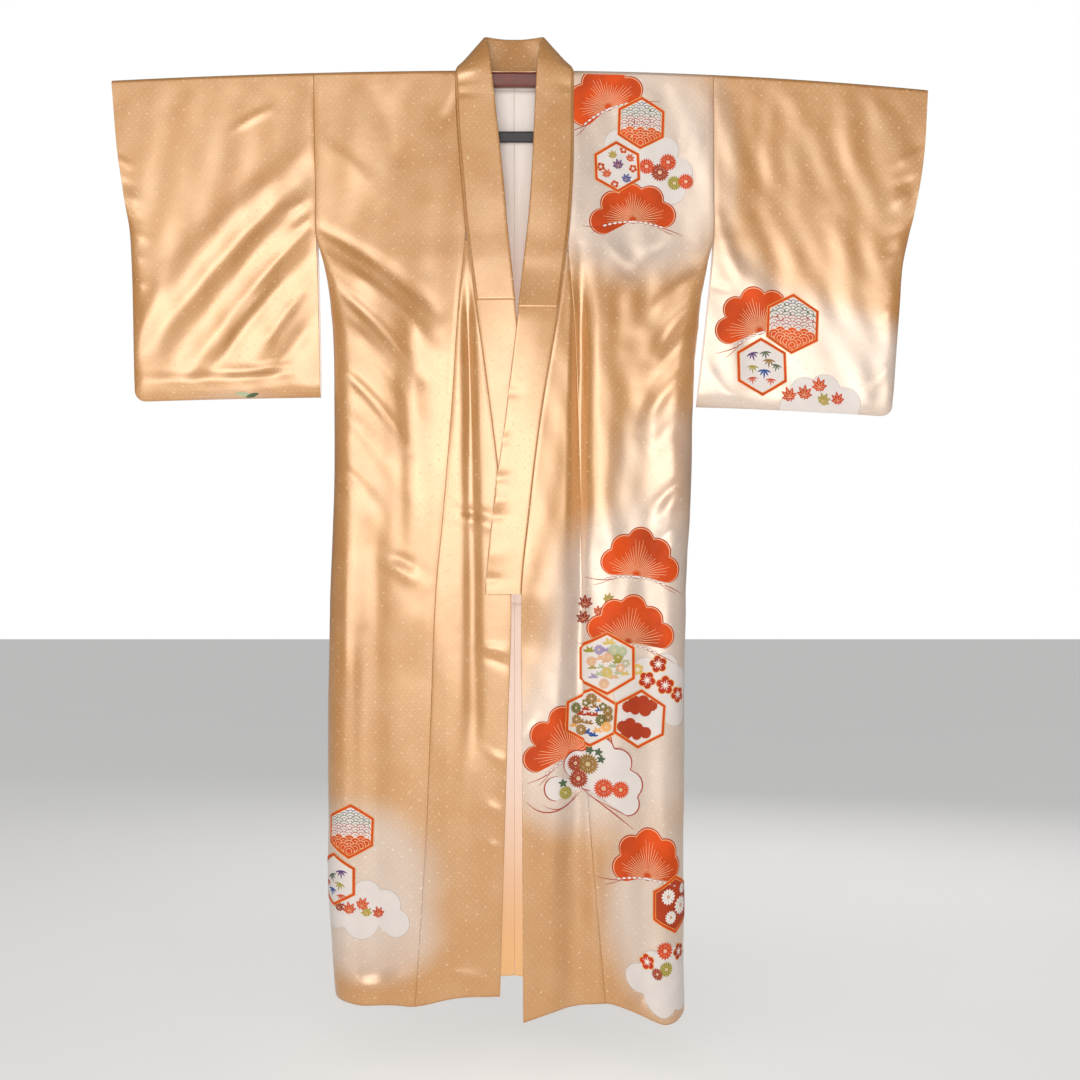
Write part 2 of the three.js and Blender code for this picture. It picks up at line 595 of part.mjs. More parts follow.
// The two linings of the back, over its dressed patches. One runs from below the rail to the join, the other
// from there to the hem.
function linings(side, patches) {
  const join = levelsOf(side).indexOf(LINING_JOIN);
  const start = (TOP - LINING_TOP) / (TOP - BODY_LEVELS[1]);
  const top = patches.map((rows) => {
    const foot = rows[join].map((v, j) => slid(v, rows[join - 1][j], SEAM / 2));
    return [between(rows[0], rows[1], start), ...rows.slice(1, join), foot];
  });
  const hem = patches.map((rows) => {
    const head = rows[join].map((v, j) => slid(v, rows[join + 1][j], SEAM / 2));
    return [head, ...rows.slice(join + 1)];
  });
  return { top, hem };
}

for (const side of ["left", "right"]) {
  const { shell, shoulder, back, inner, aboveInner } = bodyPatches(side);
  const mirrored = (patches) => patches.map((patch) => toSide(side, patch));
  const nearNeck = [...aboveInner, ...inner];
  const [outer, overBack, overlap] = dressed(mirrored([shell, nearNeck, overlapPatch(side)]));
  const [cutInner, cutOuter] = side === "left" ? [seamFirst, seamLast] : [seamLast, seamFirst];
  const [last, first] = [outer[shoulder - 1], outer[shoulder]];
  const ridge = last[0].point.distanceTo(first[0].point);
  const [frontEnd, backEnd] = [-1, 1].map((way) => between(last, first, (1 + (way * SEAM) / ridge) / 2));
  const beside = cutInner(outer.slice(0, overlap.length)); // the rows beside the overlap panel
  const frontPanel = [...beside, ...outer.slice(overlap.length, shoulder), frontEnd];
  const backPanel = [backEnd, ...outer.slice(shoulder)];
  add(`front_${side}`, wall([cutOuter(frontPanel)], CLOTH), satin);
  add(`back_${side}`, wall([cutOuter(backPanel), overBack], CLOTH), satin);
  add(`overlap_${side}`, wall([cutOuter(overlap)], CLOTH), satin);
  add(`sleeve_${side}`, wall(dressed(mirrored([sleevePatch(side)])), CLOTH), satin);

  const linedBack = back.map((row) => row.slice(0, LINED_COLUMNS + 1));
  const { top, hem } = linings(side, dressed(mirrored([linedBack, inner])));
  const inward = -(CLOTH / 2 + SEAM + LINING / 2);
  add(`lining_${side}`, wall(top, LINING, inward), whiteSilk);
  add(`hem_lining_${side}`, wall(hem, LINING, inward), hemSilk);
}

const band = bandPatch();
add("collar", wall(dressed([band]), COLLAR), satin);
add("over_collar", wall(dressed([coverPatch(band)]), COVER), satin);

add("rail", railGeometry(), lacquer).rotation.x = Math.PI / 2;
const obiBar = add("obi_bar", obiBarGeometry(), blackPlastic);
obiBar.rotation.set(0, Math.PI / 2, Math.PI / 2, "YXZ");
obiBar.position.set(-OBI_BAR.length / 2, (RAIL.thickness - OBI_BAR.thickness) / 2, OBI_BAR.middle);
const linkFoot = OBI_BAR.middle - OBI_BAR.height / 2;
for (const [side, sign] of [["left", 1], ["right", -1]]) {
  const strap = new THREE.BoxGeometry(LINK.width, LINK.thickness, LINK.top - linkFoot);
  const link = add(`link_${side}`, strap, blackPlastic);
  link.position.set(sign * LINK.x, RAIL.thickness / 2 + SEAM + LINK.thickness / 2, (LINK.top + linkFoot) / 2);
}

export default kimono;
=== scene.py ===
"""A lined women's kimono of figured satin with painted motifs, hung full width on a bowed rail.

Cloth is worked out in millimetres, as it was cut, and MM turns it into Blender's metres. "left" and "right"
are the wearer's, and a distance across runs outwards from the centre back seam on either side."""
import math
import random

import bmesh
import bpy
import numpy as np
from mathutils import Matrix, Vector


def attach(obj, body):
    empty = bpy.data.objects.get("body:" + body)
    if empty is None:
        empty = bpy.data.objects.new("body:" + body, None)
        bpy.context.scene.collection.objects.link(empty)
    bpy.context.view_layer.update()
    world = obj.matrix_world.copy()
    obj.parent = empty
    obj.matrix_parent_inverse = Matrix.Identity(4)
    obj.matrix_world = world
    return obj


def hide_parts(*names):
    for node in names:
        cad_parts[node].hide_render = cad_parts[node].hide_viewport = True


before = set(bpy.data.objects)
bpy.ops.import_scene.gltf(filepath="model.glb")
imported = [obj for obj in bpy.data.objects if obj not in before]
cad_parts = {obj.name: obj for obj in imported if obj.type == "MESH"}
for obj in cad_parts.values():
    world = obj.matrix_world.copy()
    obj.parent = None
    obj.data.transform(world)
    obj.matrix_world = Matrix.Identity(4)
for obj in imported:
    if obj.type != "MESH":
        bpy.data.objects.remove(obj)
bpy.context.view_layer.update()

bl_info = {
    "name": "Kimono on a Rail",
    "version": (1, 0, 0),
    "blender": (4, 5, 0),
    "location": "View3D > Sidebar > Kimono",
    "description": "Builds a lined satin kimono with painted pine, hexagon and cloud motifs on its rail",
    "category": "Object",
}

MM = 0.001
BODY = "root"
SIDES = ("left", "right")

# ---------------------------------------------------------------- the cut and the hang, in millimetres
CLOTH = 1.5
LINING = 1.2
SEAM = 0.3
TOP = 8
HEM = -1455
HEM_FROM = -1000
BOW_ENDS = -700
ARMHOLE = -245
SLIT_END = -370
LINING_TOP = -14
LINING_JOIN = -830
RAIL_HALF = 630
RAIL_DROP = {"left": 29, "right": 16}
FOLD_CENTRE = 3
FOLD_RADIUS = 5.6
BAND_FOOT = -813
COVER_END = {"left": -372, "right": -356}
COVER_RAISE = 0.75
BAND_HALF = 1.5
NAPE_BELOW = 1.2
BAND_JOIN = -26  # where the neckband leaves the fronts for the neck
BAND_FOLDED = 58
COVER_INSET = 0.03  # of the neckband's width, at the seam
COVER_THICK = 0.6
TIP_BELOW = 16
FOLD_FADE = 110
CENTRE_FADE = 40
CENTRE_EASE = 25
TOP_EASE = 40
SEAM_DIP = 0.85
SEAM_DIP_REACH = 2.6
PANEL_WIDE = 215  # of each body length beside the overlap's seam or the neck
OVERLAP_WIDE = 118
NAPE_WIDE = 94
SLEEVE_WIDE = 330
LINING_WIDE = 245
LINING_SHARE = 0.68  # of the back between the neck and the side that the lining covers
LINING_THIN = 0.84
EDGE_CELL = 4  # from a turned edge to the second column beside it
LAP = {"lift": 9, "reach": 120, "top": -300, "foot": -900, "fade": 90}
SLEEVE = {"length": 512, "wrist": 230, "closing": 45, "bag": 8.6, "taper": 0.35, "bag_from": 0.4}
SLEEVE_ROUND = {"cuff": 0.93, "foot": 0.95, "corner": 18, "corner_from": 0.94, "corner_down": 0.9}


def table(columns, *rows):
    """A short table: each row as a dictionary of its named columns."""
    names = columns.split()
    return [dict(zip(names, row)) for row in rows]


WIDTHS = table(
    "z left right corner",
    (8, 315, 316.5, 1),
    (-40, 315, 316, 1),
    (-100, 315, 315, 1),
    (-180, 315, 313, 1),
    (-245, 314.5, 311.5, 1.5),
    (-290, 304.5, 300, 12),
    (-370, 293, 288, 24),
    (-470, 284, 284.5, 30),
    (-640, 280, 284, 36),
    (-830, 271, 291, 40),
    (-1050, 269, 294, 42),
    (-1300, 267.5, 292, 43),
    (-1460, 269, 282, 43),
)
DEPTHS = table(
    "z reach front_mid front_side back_mid back_side",
    (8, 140, 17, 8.6, 12.5, 8.6),
    (-40, 150, 19, 9.5, 13.5, 9.2),
    (-100, 180, 23, 11.5, 15, 10.5),
    (-180, 240, 29, 14, 18, 13),
    (-245, 280, 34, 17, 21, 16),
    (-290, 285, 39, 21, 24, 18),
    (-370, 280, 45, 27, 28, 23),
    (-470, 270, 50, 33, 31, 28),
    (-640, 260, 54, 40, 35, 34),
    (-830, 250, 58, 44, 38, 38),
    (-1050, 245, 62, 47, 41, 41),
    (-1300, 245, 66, 49, 44, 43),
    (-1460, 245, 69, 50, 46, 44),
)
FRONT = {
    "left": table(
        "z edge overlap",
        (8, 94.6, 94.6),
        (-113, 94, 94),
        (-194, 91, 91),
        (-259, 85, 85),
        (-378, 69.3, 94.5),
        (-539, 42.6, 101),
        (-700, 23, 105),
        (-813, 12.4, 107),
        (-1047, 13, 111),
        (-1200, 13.7, 121),
        (-1460, 15, 144),
    ),
    "right": table(
        "z edge overlap",
        (8, 93, 93),
        (-74, 89.6, 89.6),
        (-181, 80.8, 80.8),
        (-241, 75.4, 75.4),
        (-365, 59, 86.5),
        (-540, 35, 98),
        (-700, 16, 111),
        (-813, 4, 121.5),
        (-1019, 9, 129.6),
        (-1200, 14, 137),
        (-1460, 21, 154),
    ),
}
HEM_RISE = table(
    "stop left right",
    (0, -22, 19),
    (0.5, -2, 15),
    (1, 5, 0),
    (1.2, -4, 1),
    (1.5, -25, -1),
    (1.65, -31, 2),
    (2, -15, 10),
    (3, 26, 26),
)
FOLD_COLUMNS = "top foot x_top x_foot wide_top wide_foot deep_top deep_foot"
FOLDS = {
    ("front", "left"): table(
        FOLD_COLUMNS,
        (-290, -1460, 104, 95, 10, 22, 13, 10),
        (-300, -1200, 142, 152, 18, 24, -5, -4),
        (-420, -1460, 222, 205, 22, 24, 4, 6),
    ),
    ("front", "right"): table(
        FOLD_COLUMNS,
        (-290, -1100, 72, 60, 9, 15, 8, 6),
        (-300, -950, 152, 165, 28, 32, -7, -5),
        (-640, -1460, 226, 218, 22, 26, 5, 7),
    ),
    ("back", "left"): table(
        FOLD_COLUMNS,
        (-160, -1460, 70, 78, 20, 27, 7, 15),
        (-220, -1460, 150, 146, 22, 27, -6, -12),
    ),
    ("back", "right"): table(
        FOLD_COLUMNS,
        (-130, -1460, 84, 90, 22, 28, -6, -14),
        (-240, -1460, 168, 160, 22, 27, 6, 13),
    ),
}
SLEEVE_EDGES = {
    "left": table(
        "down inner outer",
        (0, 315, 654),
        (100, 315, 648),
        (165, 315, 638),
        (230, 315, 624),
        (275, 314, 615),
        (330, 309, 611),
        (440, 297, 603),
        (540, 285, 597),
    ),
    "right": table(
        "down inner outer",
        (0, 316.5, 636),
        (100, 315, 628),
        (165, 313.5, 619),
        (230, 312, 609),
        (275, 311, 606),
        (330, 309.5, 604),
        (440, 307, 602),
        (540, 306, 600),
    ),
}
SLEEVE_FOOT_RISE = {"left": (-8, -3), "right": (5, 9)}
BAND_TOP = table(
    "seam_x seam_y seam_z free_x free_y free_z",
    (94.3, -10.7, 6, 38, -15, 20),
    (93.8, -7.8, 14, 40, -11.5, 40),
    (91.4, 0, 18, 43, -4, 58),
    (86, 7, 17, 46, 4, 67),
    (66, 11, 13.5, 33, 13, 67.5),
    (34, 12.8, 11.5, 17, 19, 67),
    (0, 13, 11, 0, 21, 67),
)
BAND_SHIFT = {"left": 0, "right": -1.4}
BAND_WIDE = {
    "left": table(
        "z wide", (8, 57), (-113, 62), (-250, 64), (-378, 61.5), (-540, 54), (-640, 55.5), (-813, 55)
    ),
    "right": table(
        "z wide", (8, 57), (-113, 63), (-250, 63.5), (-378, 60), (-540, 56), (-640, 56), (-813, 56)
    ),
}

# Creases, listed one by one. Each runs from (x0, z0) to (x1, z1) and bows sideways at its middle; "high"
# above 0 is a soft ridge and below 0 a trough; it is "wide" to either side.
CREASE_COLUMNS = "x0 z0 x1 z1 wide high bow"
CREASES = {
    "front_right": table(
        CREASE_COLUMNS,
        (304, -236, 120, -372, 11, -4.5, 10),
        (292, -285, 128, -432, 13, 4.5, 12),
        (290, -322, 142, -478, 9, -5, 8),
        (286, -372, 150, -540, 14, 4, 14),
        (280, -452, 162, -590, 9, -4.5, 8),
        (276, -520, 180, -640, 15, 3.5, 8),
        (274, -610, 205, -690, 11, -2.5, 4),
        (156, -400, 140, -760, 20, 3, -6),
        (186, -470, 176, -800, 12, -2.5, 6),
        (74, -372, 66, -590, 6, -3.5, 2),
        (58, -690, 72, -1290, 13, -3, -4),
        (110, -820, 100, -1360, 17, 2.5, 5),
        (192, -752, 150, -776, 9, -2.2, 3),
        (196, -768, 144, -800, 11, 2.4, 3),
        (86, -682, 26, -696, 8, -2.2, 3),
        (84, -698, 24, -712, 10, 2, 3),
        (48, -896, 6, -906, 8, 2.6, 2),
        (44, -912, 8, -926, 7, -2.2, 2),
        (34, -1060, 12, -1078, 8, 2.4, 0),
        (40, -1138, 22, -1158, 8, 2.2, 0),
        (38, -1200, 24, -1216, 7, 2, 0),
        (284, -1366, 246, -1432, 10, 3.5, 6),
        (250, -1424, 154, -1400, 9, 3.2, -10),
        (262, -1404, 176, -1380, 11, -3.2, -9),
        (102, -1412, 44, -1428, 8, 2.4, 3),
        (236, -880, 250, -1230, 14, -3, 5),
        (262, -760, 258, -980, 9, 2.2, -3),
        (300, -100, 214, -188, 13, 1.6, 6),
        (216, -20, 176, -150, 18, -1.6, 4),
        (120, -40, 150, -260, 22, 1.8, 4),
        (88, -20, 112, -74, 7, -1.8, 2),
    ),
    "front_left": table(
        CREASE_COLUMNS,
        (106, -268, 102, -980, 4.5, -3.4, -3),
        (92, -300, 86, -900, 7, 2.6, 2),
        (128, -290, 134, -720, 12, 3.2, 3),
        (84, -1150, 78, -1452, 13, -3.5, 3),
        (124, -1190, 128, -1450, 10, 2.6, -2),
        (272, -628, 216, -684, 8, -3.4, 4),
        (274, -646, 222, -708, 9, 3, 4),
        (272, -692, 208, -764, 9, -3.2, 5),
        (270, -716, 214, -790, 9, 2.6, 4),
        (302, -300, 206, -392, 12, 4, 9),
        (300, -342, 214, -446, 10, -4.2, 8),
        (296, -392, 206, -500, 12, 3.8, 9),
        (292, -446, 196, -560, 10, -3.4, 8),
        (286, -520, 210, -602, 13, 2.8, 6),
        (200, -290, 176, -420, 17, 2.6, 4),
        (238, -262, 168, -322, 11, -2.6, 6),
        (150, -262, 196, -300, 9, 2, 3),
        (268, -1404, 196, -1456, 8, 3, 5),
        (256, -1392, 186, -1436, 8, -2.8, 5),
        (232, -1336, 192, -1400, 11, 2.4, 4),
        (170, -1180, 176, -1440, 16, -2.4, 4),
        (228, -840, 236, -1130, 15, -2.4, -4),
        (176, -800, 168, -1080, 18, 2.2, 4),
        (70, -930, 64, -1180, 12, 2.4, 3),
        (200, -30, 212, -190, 22, 1.4, 4),
        (266, -60, 248, -210, 16, -1.4, 4),
        (36, -1010, 20, -1046, 8, 2, 1),
    ),
    "back_left": table(
        CREASE_COLUMNS,
        (298, -236, 128, -400, 13, -4, 10),
        (294, -300, 150, -470, 12, 3.6, 10),
        (288, -360, 160, -540, 11, -3.4, 9),
        (282, -450, 190, -620, 14, 3, 6),
        (60, -120, 44, -420, 18, 2.4, 4),
        (110, -90, 106, -380, 16, -2.4, 4),
        (210, -600, 222, -1040, 16, -3, 6),
        (110, -700, 102, -1240, 15, 3, 5),
        (250, -1380, 150, -1436, 11, 3, 8),
        (180, -1340, 92, -1420, 10, -2.6, 6),
        (36, -560, 30, -980, 8, -2, 2),
    ),
    "back_right": table(
        CREASE_COLUMNS,
        (296, -244, 116, -376, 12, -4, 9),
        (290, -312, 148, -492, 13, 3.8, 11),
        (284, -404, 176, -566, 10, -3.2, 7),
        (278, -500, 204, -640, 15, 2.8, 5),
        (70, -80, 58, -360, 17, -2.2, 4),
        (130, -60, 124, -300, 18, 2, 4),
        (124, -760, 132, -1200, 16, -2.8, 5),
        (214, -700, 206, -1180, 14, 2.8, -5),
        (240, -1350, 132, -1410, 12, -3, 8),
        (220, -1400, 120, -1440, 9, 2.6, 5),
        (30, -640, 36, -1100, 9, 2, 2),
    ),
    "sleeve_right": table(
        CREASE_COLUMNS,
        (336, -120, 590, -392, 22, 4.5, -18),
        (352, -176, 576, -424, 13, -3.4, -13),
        (336, -190, 556, -468, 19, 5.5, -10),
        (330, -240, 512, -462, 10, -4.2, -8),
        (330, -282, 500, -478, 17, 5, -6),
        (380, -318, 486, -452, 9, -5, -5),
        (336, -340, 400, -430, 9, -3.5, -3),
        (318, -380, 380, -470, 14, 3.5, 0),
        (360, -452, 470, -462, 8, -3, 3),
        (350, -466, 590, -470, 8, 2.6, 3),
        (560, -300, 604, -420, 14, 2.8, 8),
        (446, -76, 388, -44, 5, 2.2, 2),
        (330, -190, 360, -206, 8, 2.4, 2),
        (322, -216, 352, -240, 7, 2.2, 2),
        (628, -108, 604, -126, 5, 1.8, 0),
        (622, -146, 598, -160, 5, -1.6, 0),
        (618, -166, 594, -184, 6, 2, 0),
        (612, -196, 590, -214, 5, -1.6, 0),
        (608, -226, 582, -244, 6, 2, 0),
        (606, -262, 586, -276, 5, 1.6, 0),
        (604, -306, 582, -318, 6, 1.8, 0),
    ),
    "sleeve_left": table(
        CREASE_COLUMNS,
        (396, -8, 392, -190, 16, -2.6, 5),
        (350, -20, 344, -240, 18, 2, 4),
        (326, -214, 372, -330, 10, 2.6, 6),
        (312, -318, 342, -324, 4.5, -1.6, 0),
        (318, -256, 460, -420, 18, 2.2, -10),
        (330, -330, 420, -490, 16, -2, -8),
        (306, -440, 350, -500, 9, 2.4, 4),
        (500, -190, 560, -330, 24, 1.8, 6),
        (470, -60, 520, -180, 26, -1.4, 6),
        (640, -84, 604, -110, 6, 2, 0),
        (632, -128, 600, -148, 6, -2, 0),
        (630, -150, 596, -176, 7, 2.4, 0),
        (618, -206, 590, -226, 6, -1.8, 0),
        (612, -250, 588, -262, 6, 1.8, 0),
        (606, -330, 584, -350, 6, 1.6, 0),
        (604, -420, 560, -470, 9, 2.2, 3),
    ),
    "sleeve_back": table(
        CREASE_COLUMNS,
        (334, -110, 596, -404, 16, 4, -14),
        (340, -186, 574, -446, 12, -3.8, -12),
        (332, -214, 532, -474, 14, 4.2, -10),
        (328, -250, 470, -480, 10, -3.6, -8),
        (322, -290, 430, -490, 12, 3.4, -5),
        (350, -464, 580, -468, 8, 2.4, 3),
        (470, -70, 396, -40, 6, 1.8, 2),
        (620, -160, 594, -182, 6, 1.8, 0),
        (606, -240, 584, -256, 6, -1.6, 0),
    ),
}

# Where the gold is dyed off to white round the motifs: an oval (x, z), its half sizes and how strong it is.
FADE_COLUMNS = "x z half_x half_z strength"
FADES = {
    "front_left": table(
        FADE_COLUMNS,
        (186, -104, 150, 150, 0.95),
        (190, -206, 140, 108, 0.9),
        (196, -820, 136, 140, 0.97),
        (176, -1010, 160, 176, 0.97),
        (74, -1072, 86, 104, 0.85),
        (238, -1300, 94, 140, 0.92),
        (238, -640, 84, 120, 0.5),
    ),
    "front_right": table(
        FADE_COLUMNS,
        (262, -1262, 138, 118, 0.9),
        (228, -1346, 110, 70, 0.7),
    ),
    "sleeve_left": table(
        FADE_COLUMNS,
        (404, -432, 200, 112, 0.98),
        (510, -450, 170, 96, 0.98),
        (318, -150, 34, 170, 0.3),
        (346, -356, 74, 96, 0.55),
    ),
    "sleeve_right": table(FADE_COLUMNS, (440, -522, 80, 30, 0.35)),
    "back_left": table(
        FADE_COLUMNS,
        (258, -1292, 120, 150, 0.88),
        (214, -1400, 100, 70, 0.5),
        (186, -8, 116, 74, 0.75),
    ),
    "back_right": table(
        FADE_COLUMNS,
        (262, -1262, 126, 118, 0.88),
        (206, -1350, 104, 66, 0.5),
    ),
}

CREASE_SHARE = 0.7  # how much of its height each crease keeps in the hanging cloth

# ---------------------------------------------------------------- sizes of the cloth's cells
CELL = 4.6
BACK_CELL = 7.0
LINING_CELL = 7.5
SLEEVE_CELL = 5.0
BAND_CELL = 4.5
FLOOR = -1.62  # in metres
MOTIF_RAISE = 0.28  # of a motif's lowest layer off the cloth
LAYER = 0.06  # from one layer of a motif to the next
SAME_PLACE = 0.02


# ---------------------------------------------------------------- small helpers
def smooth(t):
    """A soft step that rises from 0 to 1."""
    t = np.clip(t, 0, 1)
    return t * t * (3 - 2 * t)


def mix(a, b, t):
    return a + (b - a) * t


def reader(rows, key, column):
    """A column of a table as a smooth function of its key."""
    rows = sorted(rows, key=lambda row: row[key])
    keys = np.array([row[key] for row in rows], float)
    values = np.array([row[column] for row in rows], float)
    slopes = np.gradient(values, keys)
    slopes[1:-1] = (values[2:] - values[:-2]) / (keys[2:] - keys[:-2])

    def read(at):
        at = np.clip(at, keys[0], keys[-1])
        i = np.clip(np.searchsorted(keys, at, side="right") - 1, 0, len(keys) - 2)
        span = keys[i + 1] - keys[i]
        t = (at - keys[i]) / span
        t2, t3 = t * t, t * t * t
        return (
            (2 * t3 - 3 * t2 + 1) * values[i]
            + (t3 - 2 * t2 + t) * span * slopes[i]
            + (3 * t2 - 2 * t3) * values[i + 1]
            + (t3 - t2) * span * slopes[i + 1]
        )

    return read


def srgb(code):
    """A hexadecimal colour as linear red, green, blue and alpha."""
    parts = [int(code[i : i + 2], 16) / 255 for i in (0, 2, 4)]
    return tuple(c / 12.92 if c <= 0.04045 else ((c + 0.055) / 1.055) ** 2.4 for c in parts) + (1.0,)


def stops(length, cell, near=0.0):
    """Shares from 0 to 1 along a length, a cell apart, with two closer ones at each end for a turned edge."""
    count = max(2, round(length / cell))
    even = np.linspace(0, 1, count + 1)
    if not near:
        return even
    extra = np.array([near * 0.3, near]) / length
    inner = even[(even > extra[1] * 1.6) & (even < 1 - extra[1] * 1.6)]
    return np.concatenate([[0], extra, inner, 1 - extra[::-1], [1]])


half_width = {side: reader(WIDTHS, "z", side) for side in SIDES}
corner_at = reader(WIDTHS, "z", "corner")
depth_at = {name: reader(DEPTHS, "z", name) for name in DEPTHS[0] if name != "z"}
edge_at = {side: reader(FRONT[side], "z", "edge") for side in SIDES}
overlap_at = {side: reader(FRONT[side], "z", "overlap") for side in SIDES}
hem_rise_at = {side: reader(HEM_RISE, "stop", side) for side in SIDES}
band_wide_at = {side: reader(BAND_WIDE[side], "z", "wide") for side in SIDES}
sleeve_inner_at = {side: reader(SLEEVE_EDGES[side], "down", "inner") for side in SIDES}
sleeve_outer_at = {side: reader(SLEEVE_EDGES[side], "down", "outer") for side in SIDES}
meet_level = {side: min(row["z"] for row in FRONT[side] if row["edge"] == row["overlap"]) for side in SIDES}


# ---------------------------------------------------------------- how the cloth hangs
def overlap_seam(side, z):
    """How far across the seam between the overlap panel and the body lies."""
    return np.where(z > meet_level[side], edge_at[side](z), overlap_at[side](z))


def folded(face, side, x, z):
    """How far the long hanging folds draw one face in."""
    total = np.zeros(np.broadcast(x, z).shape)
    for fold in FOLDS[face, side]:
        t = np.clip((z - fold["top"]) / (fold["foot"] - fold["top"]), 0, 1)
        grown = smooth((fold["top"] - z) / FOLD_FADE)
        if fold["foot"] > HEM:
            grown = grown * smooth((z - fold["foot"]) / FOLD_FADE)
        across = (x - mix(fold["x_top"], fold["x_foot"], t)) / mix(fold["wide_top"], fold["wide_foot"], t)
        total = total + grown * mix(fold["deep_top"], fold["deep_foot"], t) * np.exp(-across * across)
    return total


def front_y(side, x, z):
    """Where the front hangs. Below the neckband's crossing the left one lies over the right one."""
    fade = smooth(np.abs(x) / depth_at["reach"](z))
    depth = mix(depth_at["front_mid"](z), depth_at["front_side"](z), fade)
    lapped = smooth((LAP["top"] - z) / LAP["fade"]) * smooth((z - LAP["foot"]) / LAP["fade"])
    lift = LAP["lift"] * lapped * (1 - smooth(np.abs(x) / LAP["reach"])) if side == "left" else 0
    return -depth - lift + folded("front", side, x, z)


def back_y(side, x, z):
    """Where the back hangs."""
    fade = smooth(x / depth_at["reach"](z))
    depth = mix(depth_at["back_mid"](z), depth_at["back_side"](z), fade)
    return depth - folded("back", side, x, z) * smooth(x / CENTRE_FADE)


def bow(side, x, z):
    """How far the cloth is let down by the rail's bow, which dies out towards the hem."""
    return -RAIL_DROP[side] * (x / RAIL_HALF) ** 2 * smooth((z - BOW_ENDS) / -BOW_ENDS)


def turn_at(side, z):
    """How far across the face starts to turn round the side."""
    return half_width[side](z) - corner_at(z) - SEAM / 2


def side_at(side, z):
    """How far across the cloth the side seam lies: to the turn, and round a quarter of it."""
    return turn_at(side, z) + corner_at(z) * math.pi / 2


def creased(name, s, z):
    """How far the creases of one face raise it at (s, z)."""
    total = np.zeros(np.broadcast(s, z).shape)
    for c in CREASES.get(name, ()):
        dx, dz = c["x1"] - c["x0"], c["z1"] - c["z0"]
        length = math.hypot(dx, dz)
        along = ((s - c["x0"]) * dx + (z - c["z0"]) * dz) / length**2
        away = ((s - c["x0"]) * dz - (z - c["z0"]) * dx) / length
        inside = np.clip(along, 0, 1)
        away = away - c["bow"] * 4 * inside * (1 - inside)
        wide = c["wide"] * (0.75 + 0.5 * inside)
        beyond = (along - inside) * length / (1.4 * c["wide"])
        ends = 0.35 + 0.65 * smooth(np.minimum(inside, 1 - inside) / 0.3)
        total = total + c["high"] * ends * np.exp(-((away / wide) ** 2) - beyond * beyond)
    return total * CREASE_SHARE


def rippled(s, z, seed):
    """Faint waves of cloth that hangs free, too small for the table of creases."""
    rng = random.Random(seed)
    total = np.zeros(np.broadcast(s, z).shape)
    for _ in range(7):
        angle = rng.uniform(-0.5, 0.5)
        wave = rng.uniform(38, 105)
        phase = rng.uniform(0, 6.28)
        path = (s * math.cos(angle) + z * math.sin(angle)) / wave * 2 * math.pi
        sway = np.sin(z / rng.uniform(60, 150) + rng.uniform(0, 6.28))
        total = total + np.sin(path + phase + sway) * rng.uniform(0.12, 0.3)
    return total


def faded(name, s, z):
    """How far the gold is dyed off to white, from 0 to 1."""
    kept = np.ones(np.broadcast(s, z).shape)
    for f in FADES.get(name, ()):
        away = np.sqrt(((s - f["x"]) / f["half_x"]) ** 2 + ((z - f["z"]) / f["half_z"]) ** 2)
        kept = kept * (1 - f["strength"] * smooth((1.3 - away) / 0.62))
    return 1 - kept


def body_points(face, side, s, z, relief, stop):
    """Points of the front or back in millimetres, with the relief outwards, where s runs across and round the
    side. stop is where the column lies along the hem."""
    here, other = (front_y, back_y) if face == "front" else (back_y, front_y)
    out = -1 if face == "front" else 1
    corner, turn = corner_at(z), turn_at(side, z)
    angle = np.clip((s - turn) / corner, 0, math.pi / 2)
    closed = smooth((ARMHOLE - z) / (ARMHOLE - SLIT_END))
    x = np.where(s < turn, s, turn + corner * np.sin(angle))
    y = here(side, np.minimum(s, turn), z)
    y = mix(y, other(side, turn, z), closed * (1 - np.cos(angle)) / 2)
    x = x + relief * np.sin(angle) * closed
    y = y + out * relief * np.cos(angle * closed)
    weight = np.clip((z - HEM_FROM) / (HEM - HEM_FROM), 0, 1) ** 2
    return np.stack([x, y, z + bow(side, x, z) + hem_rise_at[side](stop) * weight], axis=-1)


def seam_dip(distance):
    """How far the cloth is drawn in beside a seam or a turned edge."""
    return -SEAM_DIP * np.exp(-((distance / SEAM_DIP_REACH) ** 2))


def eased_at_rail(relief, z):
    """The relief of a face, drawn flat just under the rail."""
    return relief * smooth((TOP + 4 - z) / TOP_EASE)


def cut_lengths(points):
    """How far along the cut cloth each row of points lies from the first."""
    steps = np.linalg.norm(np.diff(points, axis=0), axis=-1).mean(axis=1)
    return np.concatenate([[0], np.cumsum(steps)])


def spread(column, count):
    """A column of values repeated across a grid of cloth."""
    return np.repeat(column[:, None], count, axis=1)


